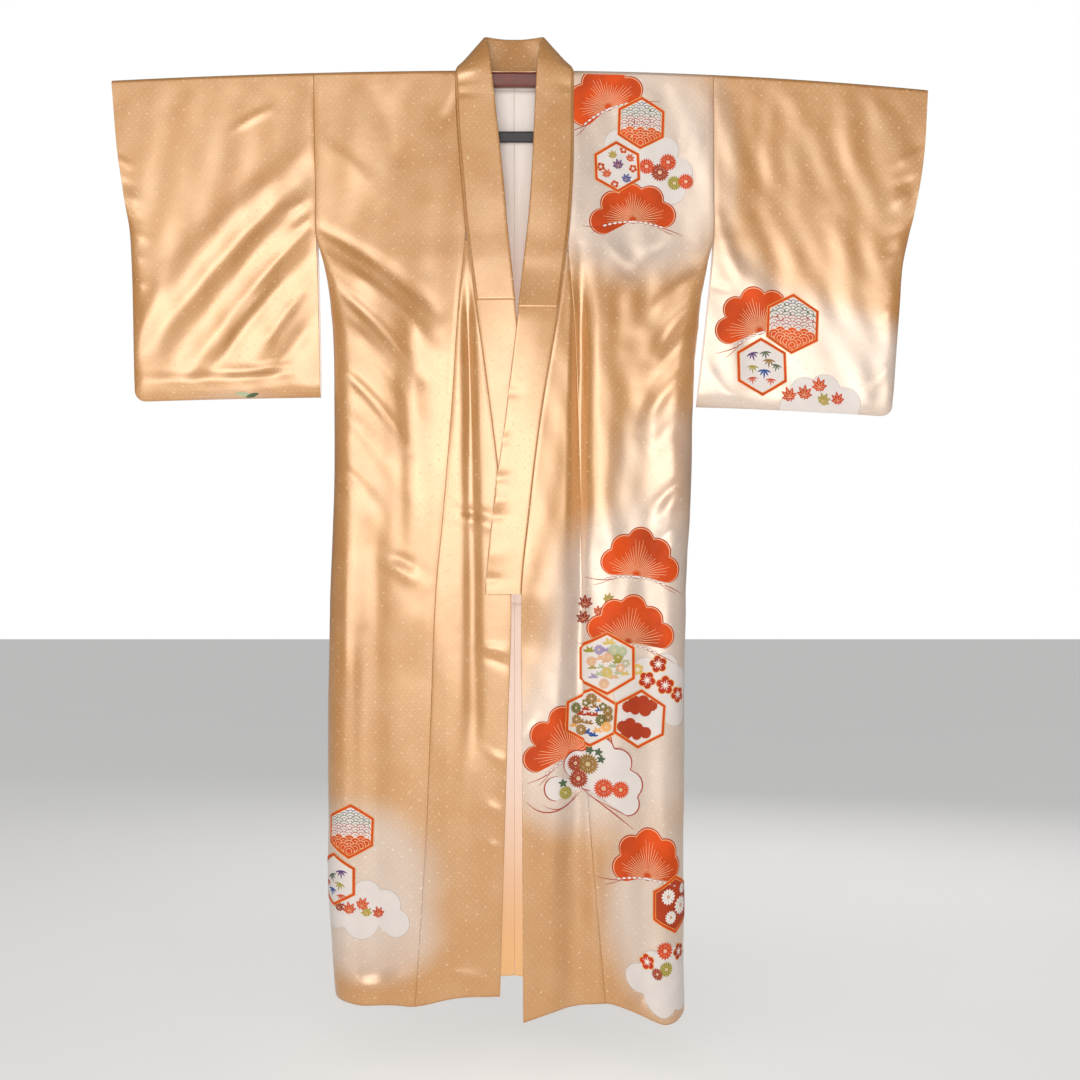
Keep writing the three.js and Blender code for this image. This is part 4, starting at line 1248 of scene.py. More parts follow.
# ---------------------------------------------------------------- motifs
class Drawing:
    """Flat shapes in millimetres, each with a layer, to be cut to the cloth's cells and laid on it."""

    def __init__(self):
        self.bm = bmesh.new()
        self.lift = self.bm.verts.layers.float.new("lift")
        self.used = []
        self.at = Matrix.Identity(3)

    def colour(self, name):
        if name not in self.used:
            self.used.append(name)
        return self.used.index(name)

    def take(self, verts, colour, lift):
        """Puts new points in the drawing's frame and gives their faces a colour and layer."""
        index = self.colour(colour)
        for vert in verts:
            flat = self.at @ Vector((vert.co.x, vert.co.y, 1))
            vert.co = (flat.x, flat.y, 0)
            vert[self.lift] = lift * LAYER
            for face in vert.link_faces:
                face.material_index = index

    def frame(self, x, z, turn=0.0, scale=1.0):
        """Draws what follows round (x, z), turned by degrees and scaled."""
        c, s = math.cos(math.radians(turn)) * scale, math.sin(math.radians(turn)) * scale
        self.at = Matrix(((c, -s, x), (s, c, z), (0, 0, 1)))

    def disc(self, sides):
        """The points of a filled circle of radius 1."""
        made = bmesh.ops.create_circle(self.bm, cap_ends=True, cap_tris=True, segments=sides, radius=1)
        return made["verts"]

    def shape(self, centre, radius, colour, lift, sides=24):
        """A filled outline round a centre. radius is a number or a function of the angle."""
        reach = radius if callable(radius) else (lambda _: radius)
        made = self.disc(sides)
        for vert in made:
            if vert.co.length > 0.5:
                angle = math.atan2(vert.co.y, vert.co.x)
                vert.co = Vector((math.cos(angle), math.sin(angle), 0)) * reach(angle)
            vert.co += Vector((*centre, 0))
        self.take(made, colour, lift)

    def ring(self, centre, outer, inner, colour, lift, sides=24):
        """The band between two outlines round a centre."""
        rims = [r if callable(r) else (lambda _, r=r: r) for r in (outer, inner)]
        made = bmesh.ops.create_circle(self.bm, segments=sides, radius=1)["verts"]
        edges = list({edge for vert in made for edge in vert.link_edges})
        grown = bmesh.ops.extrude_edge_only(self.bm, edges=edges)["geom"]
        within = [g for g in grown if isinstance(g, bmesh.types.BMVert)]
        for verts, reach in ((made, rims[0]), (within, rims[1])):
            for vert in verts:
                angle = math.atan2(vert.co.y, vert.co.x)
                vert.co = Vector((math.cos(angle), math.sin(angle), 0)) * reach(angle)
                vert.co += Vector((*centre, 0))
        self.take(made + within, colour, lift)

    def stroke(self, start, middle, end, wide, colour, lift, steps=10, taper=0.75):
        """A brush line through three points, thinner towards its ends."""
        made = bmesh.ops.create_grid(self.bm, x_segments=steps, y_segments=1, size=0.5)["verts"]
        a, b, c = (Vector((*p, 0)) for p in (start, middle, end))
        control = 2 * b - (a + c) / 2
        for vert in made:
            t, side = vert.co.x + 0.5, vert.co.y * 2
            point = a * (1 - t) ** 2 + control * 2 * t * (1 - t) + c * t * t
            way = (control - a) * (1 - t) + (c - control) * t
            way = Vector((-way.y, way.x, 0)).normalized()
            vert.co = point + way * side * wide / 2 * (1 - taper * abs(2 * t - 1) ** 1.6)
        self.take(made, colour, lift)

    def leaf(self, centre, angle, length, wide, colour, lift, sides=12):
        """A leaf with two pointed ends."""
        made = self.disc(sides)
        c, s = math.cos(math.radians(angle)), math.sin(math.radians(angle))
        for vert in made:
            x, y = vert.co.x, vert.co.y
            x, y = x * length / 2, y * (1 - 0.45 * abs(x)) * wide / 2
            vert.co = (centre[0] + c * x - s * y, centre[1] + s * x + c * y, 0)
        self.take(made, colour, lift)


def lobes(circles):
    """The outline of overlapping circles, each (x, y, radius), as seen from the origin."""

    def reach(angle):
        c, s = math.cos(angle), math.sin(angle)
        best = 0.0
        for x, y, radius in circles:
            along = x * c + y * s
            aside = radius * radius - (x * s - y * c) ** 2
            if aside > 0:
                best = max(best, along + math.sqrt(aside))
        return best

    return reach


def grown(reach, by, least=0.5):
    """An outline moved out by a distance, and kept clear of its centre."""
    return lambda angle: max(least, reach(angle) + by)


def spot(centre, angle, far):
    """The place at a distance from a centre, at an angle in radians."""
    return (centre[0] + math.cos(angle) * far, centre[1] + math.sin(angle) * far)


PINE_TUFT = 20.5


def pine_fan(art, x, z, turn, tufts, lift=3, needles=33):
    """A rounded pine bough round (x, z): tufts, each (angle, distance), over a bough that is turned by
    degrees, with fine needles."""
    art.frame(x, z, turn)
    placed = [(math.radians(angle - turn), far) for angle, far in tufts]
    circles = [((far - 2.5) * math.cos(a), (far - 2.5) * math.sin(a), PINE_TUFT) for a, far in placed]
    reach = lobes(circles)

    def outline(angle):
        return max(5.0, reach(angle))

    art.shape((0, 0), grown(outline, 0.3), "pine", lift, 120)
    art.ring((0, 0), grown(outline, 1.3), grown(outline, 0.3), "pine_line", lift + 1, 120)
    art.ring((0, 0), grown(outline, -0.7, 4.2), grown(outline, -1.9, 3.4), "needle", lift + 1, 120)
    for k in range(needles):
        angle = math.radians(mix(-14, 194, k / (needles - 1)))
        end = max(outline(angle) * (0.64 + 0.1 * math.sin(angle * 5)) + (2.5 if k % 2 else -1.5), 14)
        start = 8 if k % 2 else 5
        places = [spot((0, 0), angle, far) for far in (start, (start + end) / 2, end)]
        art.stroke(*places, 0.95, "needle", lift + 1, 2, 0.6)
    for side in (-1, 1):
        for k in range(6):
            across = side * (4.2 + 8 * k)
            y = -3.6 - 0.0036 * across * across
            art.leaf((across, y), -side * k * 3.4, 8.2, 4.6, "twig", lift + 2, 10)
            art.leaf((across, y), -side * k * 3.4, 7.0, 3.3, "white", lift + 3, 10)
        tip = (side * 80, -12 if side < 0 else -24)
        art.stroke((side * 30, -9), (side * 52, -13.5), tip, 1.3, "twig", lift + 1, 10)
        art.stroke((side * 38, -11), (side * 54, -19), (side * 66, -23), 0.9, "twig", lift + 1, 8)
    art.leaf((0, -3.4), 0, 8, 3.6, "white", lift + 3.5, 10)


def hexagon(radius):
    """The outline of a hexagon that stands on a corner."""
    flat = radius * math.cos(math.pi / 6)

    def reach(angle):
        part = (angle - math.pi / 2) % (math.pi / 3) - math.pi / 6
        return flat / math.cos(part)

    return reach


def hexagon_frame(art, lift, radius, ground="cloud"):
    """A hexagon of its ground colour in an orange frame edged with gold thread."""
    line = 4.0
    inner = radius - line * 1.155
    art.shape((0, 0), hexagon(radius - 1), ground, lift, 6)
    art.ring((0, 0), hexagon(radius), hexagon(inner), "frame", lift + 4, 6)
    art.ring((0, 0), hexagon(radius + 0.7), hexagon(radius - 0.35), "gold_thread", lift + 5, 6)
    art.ring((0, 0), hexagon(inner + 0.35), hexagon(inner - 0.6), "gold_thread", lift + 5, 6)


WAVE_TONES = (("cloud", "indigo"), ("cloud", "leaf"), ("cloud", "rust"), ("pine", "needle"))
MAPLE_LEAFLETS = ((0, 1), (38, 0.92), (-38, 0.92), (78, 0.74), (-78, 0.74), (122, 0.46), (-122, 0.46))


def maple(art, centre, size, turn, colour, vein, lift):
    """A maple leaf of seven pointed leaflets on a stalk."""
    for k, (angle, share) in enumerate(MAPLE_LEAFLETS):
        a = math.radians(90 + turn + angle)
        far = size * share
        mid = spot(centre, a, far / 2)
        art.leaf(mid, math.degrees(a), far * 1.02, size * 0.4, colour, lift + 0.02 * k, 10)
        art.stroke(centre, mid, spot(centre, a, far * 0.8), size * 0.04, vein, lift + 1, 2, 0.3)
    end = spot(centre, math.radians(-90 + turn), size * 0.45)
    bend = ((centre[0] + end[0]) / 2 + size * 0.05, (centre[1] + end[1]) / 2)
    art.stroke(centre, bend, end, size * 0.08, colour, lift, 3, 0.3)


def plum(art, centre, size, turn, colour, lift, heart="white", edge="gold_thread"):
    """A plum blossom: five round petals and a star of stamens."""
    petals = [math.radians(90 + turn + 72 * k) for k in range(5)]
    reach = lobes([(*spot((0, 0), a, size * 0.56), size * 0.43) for a in petals])
    art.shape(centre, grown(reach, size * 0.05), edge, lift, 40)
    for k, a in enumerate(petals):
        art.shape(spot(centre, a, size * 0.5824), size * 0.3698, colour, lift + 1 + 0.02 * k, 14)
    for k in range(10):
        a = math.radians(turn + 36 * k)
        far = size * (0.44 if k % 2 else 0.6)
        places = (centre, spot(centre, a, far / 2), spot(centre, a, far))
        art.stroke(*places, size * 0.085, heart, lift + 2, 2, 0.3)
    art.shape(centre, size * 0.14, heart, lift + 2.2, 8)


def chrysanthemum(art, centre, size, colour, lift, petals=20, heart="needle", gap="cloud"):
    """A chrysanthemum: a ring of narrow petals, a smaller ring on it and a small heart."""
    art.shape(centre, size * 0.8, gap, lift, 24)
    for ring, (far, near, count) in enumerate(((1.0, 0.42, petals), (0.62, 0.16, petals - 6))):
        for k in range(count):
            a = 2 * math.pi * (k + ring * 0.5) / count
            place = spot(centre, a, size * (far + near) / 2)
            wide = 2 * math.pi * size * far / count * (0.78 if ring == 0 else 0.7)
            art.leaf(place, math.degrees(a), size * (far - near), wide, colour, lift + 1 + ring, 8)
    art.shape(centre, size * 0.15, heart, lift + 3, 8)


def cloud(art, circles, lift=1, line="cloud_line", wide=0.8):
    """A scalloped cloud with a fine outline."""
    reach = lobes(circles)
    art.shape((0, 0), reach, "cloud", lift, 110)
    art.ring((0, 0), grown(reach, wide / 2), grown(reach, -wide / 2), line, lift + 1, 110)


def bamboo_spray(art, centre, size, turn, colour, lift):
    """Five bamboo leaves from one point."""
    for k, angle in enumerate((-72, -38, -4, 30, 66)):
        a = math.radians(-90 + turn + angle)
        far = size * (0.8 + 0.2 * (k == 2))
        art.leaf(spot(centre, a, far / 2), math.degrees(a), far, size * 0.2, colour, lift + 0.02 * k, 8)


def sea_waves(art, radius, wave, tones, lift):
    """Rows of overlapping round scales, the old blue-sea wave figure, cut off at a hexagon's edge. wave is a
    scale's radius, and tones are (scale, line), one for each pair of rows."""
    flat = radius * math.cos(math.pi / 6)
    for row in range(math.ceil(4 * radius / wave)):
        y = radius - row * wave / 2
        for k in range(-math.ceil(radius / wave), math.ceil(radius / wave) + 1):
            x = (2 * k + row % 2) * wave
            if math.hypot(x, y) > hexagon(radius)(math.atan2(y, x)) - 0.5:
                continue
            scale, line = tones[min(row // 4, len(tones) - 1)]
            for ring, share in enumerate((1.0, 0.89, 0.56, 0.45)):
                colour = line if ring % 2 == 0 else scale
                reach = held_in(flat, x, y, wave * share)
                art.shape((x, y), reach, colour, lift + 0.14 * row + 0.02 * ring)


def held_in(flat, x, y, radius):
    """The outline of a circle round (x, y), cut off at the sides of a hexagon."""

    def reach(angle):
        far = radius
        for side in range(6):
            a = math.pi / 3 * side
            towards = math.cos(angle - a)
            if towards > 1e-6:
                far = min(far, (flat - x * math.cos(a) - y * math.sin(a)) / towards)
        return max(far, 0.05)

    return reach


def flower_carpet(art, radius, lift, seed, tones, count=16):
    """Small flowers and leaves scattered close inside a hexagon."""
    rng = random.Random(seed)
    inside = hexagon(radius)
    placed = []
    for _ in range(900):
        x, y = rng.uniform(-radius, radius), rng.uniform(-radius, radius)
        size = rng.uniform(7.0, 11.5)
        if math.hypot(x, y) + size * 0.95 > inside(math.atan2(y, x)):
            continue
        if any(math.hypot(x - a, y - b) < (size + c) * 0.56 for a, b, c in placed):
            continue
        placed.append((x, y, size))
        if len(placed) == count:
            break
    for k, (x, y, size) in enumerate(placed):
        tone = tones[k % len(tones)]
        kind = k % 3
        if kind < 2 and size > 8.2:
            chrysanthemum(art, (x, y), size, tone, lift + 0.35 * (k % 5), 14, "yellow")
        elif kind == 1:
            plum(art, (x, y), size * 0.9, rng.uniform(0, 72), tone, lift + 0.35 * (k % 5), "white", "peach")
        else:
            for a in (10, 62, 118, 170):
                turn = a + rng.uniform(-12, 12)
                mid = spot((x, y), math.radians(turn), size * 0.5)
                art.leaf(mid, turn, size * 1.05, size * 0.46, tone, lift + 0.3 * (k % 3) + 0.01 * a / 10, 8)


def scattered(art, kind, places, lift):
    """Small leaves or blossoms at their places: (x, y, size, turn, colour)."""
    for k, (x, y, size, turn, colour) in enumerate(places):
        if kind == "maple":
            maple(art, (x, y), size * 1.12, turn, colour, "needle", lift + 0.4 * (k % 3))
        elif kind == "plum":
            plum(art, (x, y), size, turn, colour, lift + 0.4 * (k % 3))
        else:
            bamboo_spray(art, (x, y), size, turn, colour, lift + 0.4 * (k % 3))


def lay_on_cloth(art, face, name):
    """Cuts a drawing along the cloth's cells and lays it on the cloth, as one piece."""
    bm = art.bm
    bm.verts.ensure_lookup_table()
    flat = np.array([vert.co[:2] for vert in bm.verts])
    column, row = face.columns_at(flat[:, 0], flat[:, 1])
    for vert, c, r in zip(bm.verts, column, row):
        vert.co = (c, r, 0)
    rows, columns = face.points.shape[:2]
    for axis, values, count in ((0, column, columns), (1, row, rows)):
        normal = Vector((1, 0, 0)) if axis == 0 else Vector((0, 1, 0))
        for k in range(max(0, math.ceil(values.min())), min(count - 1, math.floor(values.max())) + 1):
            geometry = bm.verts[:] + bm.edges[:] + bm.faces[:]
            ends = k in (0, count - 1)
            bmesh.ops.bisect_plane(bm, geom=geometry, dist=1e-5, plane_co=normal * k, plane_no=normal,
                                   clear_inner=ends and k == 0, clear_outer=ends and k > 0)
    bmesh.ops.triangulate(bm, faces=bm.faces[:])
    bm.verts.ensure_lookup_table()
    flat = np.array([vert.co[:2] for vert in bm.verts])
    lift = np.array([vert[art.lift] for vert in bm.verts]) + CLOTH / 2 + MOTIF_RAISE
    points, normals = face.lay(flat[:, 0], flat[:, 1], lift)
    for vert, point in zip(bm.verts, points):
        vert.co = Vector(point) * MM
    bm.normal_update()
    wrong = [f for f in bm.faces if f.normal.dot(Vector(normals[f.verts[0].index])) < 0]
    bmesh.ops.reverse_faces(bm, faces=wrong)
    obj = new_mesh_object(name, bm)
    obj.data.normals_split_custom_set_from_vertices([tuple(n) for n in normals])
    for colour in art.used:
        obj.data.materials.append(MATERIALS[colour])
    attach(obj, BODY)


FACES = {}


def faces():
    """The fronts, backs and sleeves of both sides, worked out once."""
    if not FACES:
        for side in SIDES:
            panel, overlap, whole = front_face(side)
            outer, inner = back_face(side)
            FACES[f"front_{side}"], FACES[f"overlap_{side}"], FACES[f"lower_{side}"] = panel, overlap, whole
            FACES[f"back_{side}"], FACES[f"nape_{side}"] = outer, inner
            FACES[f"sleeve_{side}"], FACES[f"sleeve_back_{side}"] = sleeve_faces(side)
    return FACES


# ---------------------------------------------------------------- settings
class KIMONO_PG_settings(bpy.types.PropertyGroup):
    gold: bpy.props.FloatVectorProperty(
        name="Gold", description="Colour of the satin", subtype="COLOR", size=4, default=srgb("cd9150"),
        min=0, max=1)
    gold_deep: bpy.props.FloatVectorProperty(
        name="Deep gold", description="Colour of the satin's darker parts", subtype="COLOR", size=4,
        default=srgb("bb7b3a"), min=0, max=1)
    dyed_white: bpy.props.FloatVectorProperty(
        name="Dyed white", description="Colour round the motifs", subtype="COLOR", size=4,
        default=srgb("d6c1b4"), min=0, max=1)
    satin_roughness: bpy.props.FloatProperty(
        name="Satin roughness", description="How soft the satin's shine is", default=0.32, min=0.1, max=0.9)
    figure_scale: bpy.props.FloatProperty(
        name="Figure scale", description="Size of the woven figure against its usual size", default=1.0,
        min=0.3, max=3)
    lamp_power: bpy.props.FloatProperty(
        name="Lamp power", description="Power of the main soft light", default=36.0, min=0, unit="POWER")


def settings_of(context):
    return context.scene.kimono


# ---------------------------------------------------------------- operators
class KIMONO_OT_hanger(bpy.types.Operator):
    """Finish the rail, the lower bar and its straps"""

    bl_idname = "kimono.hanger"
    bl_label = "Hanger"

    def execute(self, context):
        made = materials(settings_of(context))
        for node in ("rail", "obi_bar", "link_left", "link_right"):
            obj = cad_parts[node]
            obj.data.materials.clear()
            obj.data.materials.append(made["lacquer" if node == "rail" else "black"])
        return {"FINISHED"}


class KIMONO_OT_body(bpy.types.Operator):
    """Make the two body lengths, each from the front hem over the rail to the back hem"""

    bl_idname = "kimono.body"
    bl_label = "Body"

    def execute(self, context):
        made = materials(settings_of(context))
        for side in SIDES:
            panel, outer, inner = (faces()[f"{part}_{side}"] for part in ("front", "back", "nape"))
            arc = over_rail(panel.points[-1], outer.points[-1])
            points = np.concatenate([panel.points, arc, outer.points[::-1]])
            v = spread(cut_lengths(points), points.shape[1])
            mid = np.repeat(panel.across[-1][None], len(arc), axis=0)
            u = np.concatenate([panel.across, mid, outer.across[::-1]])
            before = faded(f"front_{side}", panel.across, panel.levels[:, None])
            behind = faded(f"back_{side}", outer.across, outer.levels[:, None])[::-1]
            over = np.linspace(0, 1, len(arc) + 2)[1:-1, None]
            fade = np.concatenate([before, mix(before[-1:], behind[:1], over), behind])
            bm = bmesh.new()
            flip = facing_flip(panel.points, panel.normals)
            grid_into(bm, points, u, v, fade, flip)
            self.nape(bm, side, inner, arc, v)
            merge_close(bm)
            obj = new_mesh_object(f"body_{side}_cloth", bm)
            finish_cloth(obj, CLOTH, (made["satin"], made["lining"]))
            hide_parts(f"front_{side}", f"back_{side}")
        return {"FINISHED"}

    def nape(self, bm, side, inner, arc, v):
        """The back between the centre seam and the neck's column, up to the neckband's seam."""
        sign = -1 if side == "right" else 1
        rows = [inner.points]
        row = inner.points[-1]
        seam_y, seam_z = reader(BAND_TOP, "seam_x", "seam_y"), reader(BAND_TOP, "seam_x", "seam_z")
        x = row[:, 0] * sign
        edge = np.stack([row[:, 0], seam_y(x), seam_z(x) - NAPE_BELOW], axis=-1)
        back_arc = arc[len(arc) // 2 :][::-1]
        for k, arc_row in enumerate(back_arc):
            t = (k + 1) / len(back_arc)
            blended = mix(row, edge, t)
            ease = smooth((x - 60) / (x[-1] - 60))[:, None]
            blended[:, 1:] = mix(blended[:, 1:], arc_row[:1, 1:], ease)
            blended[-1] = arc_row[0]
            rows.append(blended[None])
        points = np.concatenate(rows)
        u = np.repeat(inner.across[-1][None], len(points), axis=0)
        down = spread(float(v[-1, 0]) - cut_lengths(points), points.shape[1])
        z = np.concatenate([inner.levels, np.full(len(rows) - 1, float(TOP))])[:, None]
        fade = faded(f"back_{side}", u, z)
        grid_into(bm, points, u, down, fade, facing_flip(inner.points, inner.normals))


class KIMONO_OT_overlaps(bpy.types.Operator):
    """Make the two overlap panels at the front's inner edges"""

    bl_idname = "kimono.overlaps"
    bl_label = "Overlap panels"

    def execute(self, context):
        made = materials(settings_of(context))
        for side in SIDES:
            face = faces()[f"overlap_{side}"]
            bm = bmesh.new()
            z = spread(face.levels, face.points.shape[1])
            fade = faded(f"front_{side}", face.across, z)
            points = face.points.copy()
            sign = 1 if side == "left" else -1
            points[:, -1, 0] -= sign * SEAM
            grid_into(bm, points, face.across, z - HEM, fade, facing_flip(face.points, face.normals))
            merge_close(bm)
            obj = new_mesh_object(f"overlap_{side}_cloth", bm)
            finish_cloth(obj, CLOTH, (made["satin"], made["lining"]))
            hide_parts(f"overlap_{side}")
        return {"FINISHED"}


class KIMONO_OT_sleeves(bpy.types.Operator):
    """Make the two sleeves, each a length folded over the rail and closed at its foot"""

    bl_idname = "kimono.sleeves"
    bl_label = "Sleeves"

    def execute(self, context):
        made = materials(settings_of(context))
        for side in SIDES:
            front, back = faces()[f"sleeve_{side}"], faces()[f"sleeve_back_{side}"]
            arc = over_rail(front.points[-1], back.points[-1])
            points = np.concatenate([front.points, arc, back.points[::-1]])
            v = spread(cut_lengths(points), points.shape[1])
            u = np.concatenate([front.across, np.repeat(front.across[-1][None], len(arc), axis=0),
                                back.across[::-1]])
            z = front.levels[:, None]
            behind = faded(f"sleeve_{side}", back.across, z) * smooth((-300 - z) / 120) * 0.8
            fade = np.concatenate([
                faded(f"sleeve_{side}", front.across, z),
                np.repeat(faded(f"sleeve_{side}", front.across[-1:], z[-1:]), len(arc), axis=0),
                behind[::-1],
            ])
            bm = bmesh.new()
            grid_into(bm, points, u, v, fade, facing_flip(front.points, front.normals))
            merge_close(bm)
            obj = new_mesh_object(f"sleeve_{side}_cloth", bm)
            finish_cloth(obj, CLOTH, (made["satin"], made["lining"]))
            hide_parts(f"sleeve_{side}")
        return {"FINISHED"}


class KIMONO_OT_neckband(bpy.types.Operator):
    """Make the folded neckband and the over-collar that wraps it"""

    bl_idname = "kimono.neckband"
    bl_label = "Neckband"

    def execute(self, context):
        made = materials(settings_of(context))
        seam, free = band_rows()
        half = len(seam) // 2
        along = np.concatenate([[0], np.cumsum(np.linalg.norm(np.diff((seam + free) / 2, axis=0), axis=1))])
        bands = (("collar_cloth", 0, 0), ("over_collar_cloth", COVER_RAISE, COVER_INSET))
        for name, raise_by, inset in bands:
            profile = band_profile(raise_by)
            points = band_surface(seam, free, profile)
            rows = np.ones(len(seam), bool)
            if inset:
                index = np.arange(len(seam))
                limit = np.where(index <= half, COVER_END["left"], COVER_END["right"])
                rows = free[:, 2] >= limit
                points = points[rows]
                keep = [k for k, (share, _, _) in enumerate(profile) if share <= 1 - inset]
                points = points[:, keep]
                profile = [profile[k] for k in keep]
            across = np.array([share if off > 0 else -share for share, off, _ in profile]) * BAND_FOLDED
            u = np.repeat(across[None], len(points), axis=0)
            v = spread(along[rows], len(profile))
            bm = bmesh.new()
            grid_into(bm, points, u, v, np.zeros(u.shape), self.inward(points))
            obj = new_mesh_object(name, bm)
            finish_cloth(obj, COVER_THICK if inset else 0, (made["satin"],))
            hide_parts("over_collar" if inset else "collar")
        return {"FINISHED"}

    def inward(self, points):
        """True where the outer face of the band's front would look backwards."""
        i = len(points) // 8
        face = np.cross(points[i, 5] - points[i, 4], points[i + 1, 4] - points[i, 4])
        return face[1] > 0


LINING_PUCKERS = table("high at sway wide", (1.6, 9, 0, 5), (1.3, 30, 0, 5), (1.7, 50, 6, 9))


class KIMONO_OT_linings(bpy.types.Operator):
    """Make the linings of the back, which show in the neck and between the fronts"""

    bl_idname = "kimono.linings"
    bl_label = "Linings"

    def execute(self, context):
        made = materials(settings_of(context))
        inward = CLOTH / 2 + SEAM + LINING / 2
        for side in SIDES:
            parts = (("lining", LINING_TOP, LINING_JOIN + SEAM / 2, "lining", "white_lining"),
                     ("hem_lining", LINING_JOIN - SEAM / 2, HEM, "hem", "hem_lining"))
            for name, top, foot, material, slot in parts:
                levels = np.linspace(foot, top, round((top - foot) / LINING_CELL) + 1)
                z = levels[:, None]
                neck = neck_column(side)
                wide = neck + LINING_SHARE * (side_at(side, z) - neck)
                s = SEAM / 2 + (wide - SEAM / 2) * stops(LINING_WIDE, LINING_CELL, EDGE_CELL)[None]
                relief = creased(f"back_{side}", s, z) * smooth(s / CENTRE_EASE)
                relief = relief + rippled(s, z, 7 if side == "left" else 9)
                for p in LINING_PUCKERS:
                    away = (s - p["at"] - p["sway"] * np.sin(z / 60)) / p["wide"]
                    relief = relief - p["high"] * np.exp(-(away**2)) * smooth(-z / TOP_EASE)
                points = body_points("back", side, s, z, relief - inward, 3 - s / side_at(side, z))
                face = Face(side, s, levels, points, -1)
                bm = bmesh.new()
                along = np.broadcast_to(z - HEM, s.shape)
                flip = facing_flip(face.points, face.normals)
                grid_into(bm, face.points, s, along, np.zeros(s.shape), flip)
                obj = new_mesh_object(f"{name}_{side}_cloth", bm)
                finish_cloth(obj, LINING_THIN, (made[material],))
                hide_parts(f"{name}_{side}")
        return {"FINISHED"}


# ---- the painted groups: each function draws round its own corner of the cloth, in millimetres
def shoulder_group():
    """Over the wearer's left shoulder and chest."""
    art = Drawing()
    art.frame(198, -122)
    cloud(art, [(-30, 18, 26), (6, 28, 24), (40, 12, 22), (62, -22, 22), (50, -52, 22), (14, -30, 30),
                (-26, -16, 26)])
    pine_fan(art, 149, -43.5, 24, ((40, 46), (80, 46), (120, 46), (160, 45), (195, 43)))
    pine_fan(art, 187, -223, 0, ((11, 50), (51, 46.5), (93, 40), (141, 41), (185, 50)))
    art.frame(200.5, -68, -2)
    hexagon_frame(art, 6, 42)
    sea_waves(art, 37, 8.6, WAVE_TONES, 8)
    art.frame(162.5, -139, 2)
    hexagon_frame(art, 9, 41)
    scattered(art, "maple", [(-6, 17, 9, 10, "olive"), (20, 12, 9, -30, "maple"), (2, 1, 11, 12, "purple"),
                             (-16, -13, 10, 20, "maple"), (13, -21, 10, -25, "blue")], 11)
    scattered(art, "plum", [(11, 27, 6, 0, "plum"), (-26, 0, 7, 20, "plum"), (25, -3, 6.5, 30, "plum"),
                            (-5, -28, 6.5, 10, "plum")], 12)
    art.frame(0, 0)
    for x, z, size, colour in ((209, -137, 13, "kiku"), (230, -146, 15, "kiku_deep"), (243, -129, 14, "kiku"),
                               (253, -162, 12, "olive"), (271, -159, 13, "kiku")):
        chrysanthemum(art, (x, z), size, colour, 4 + 0.5 * (size % 3), 20)
    return art


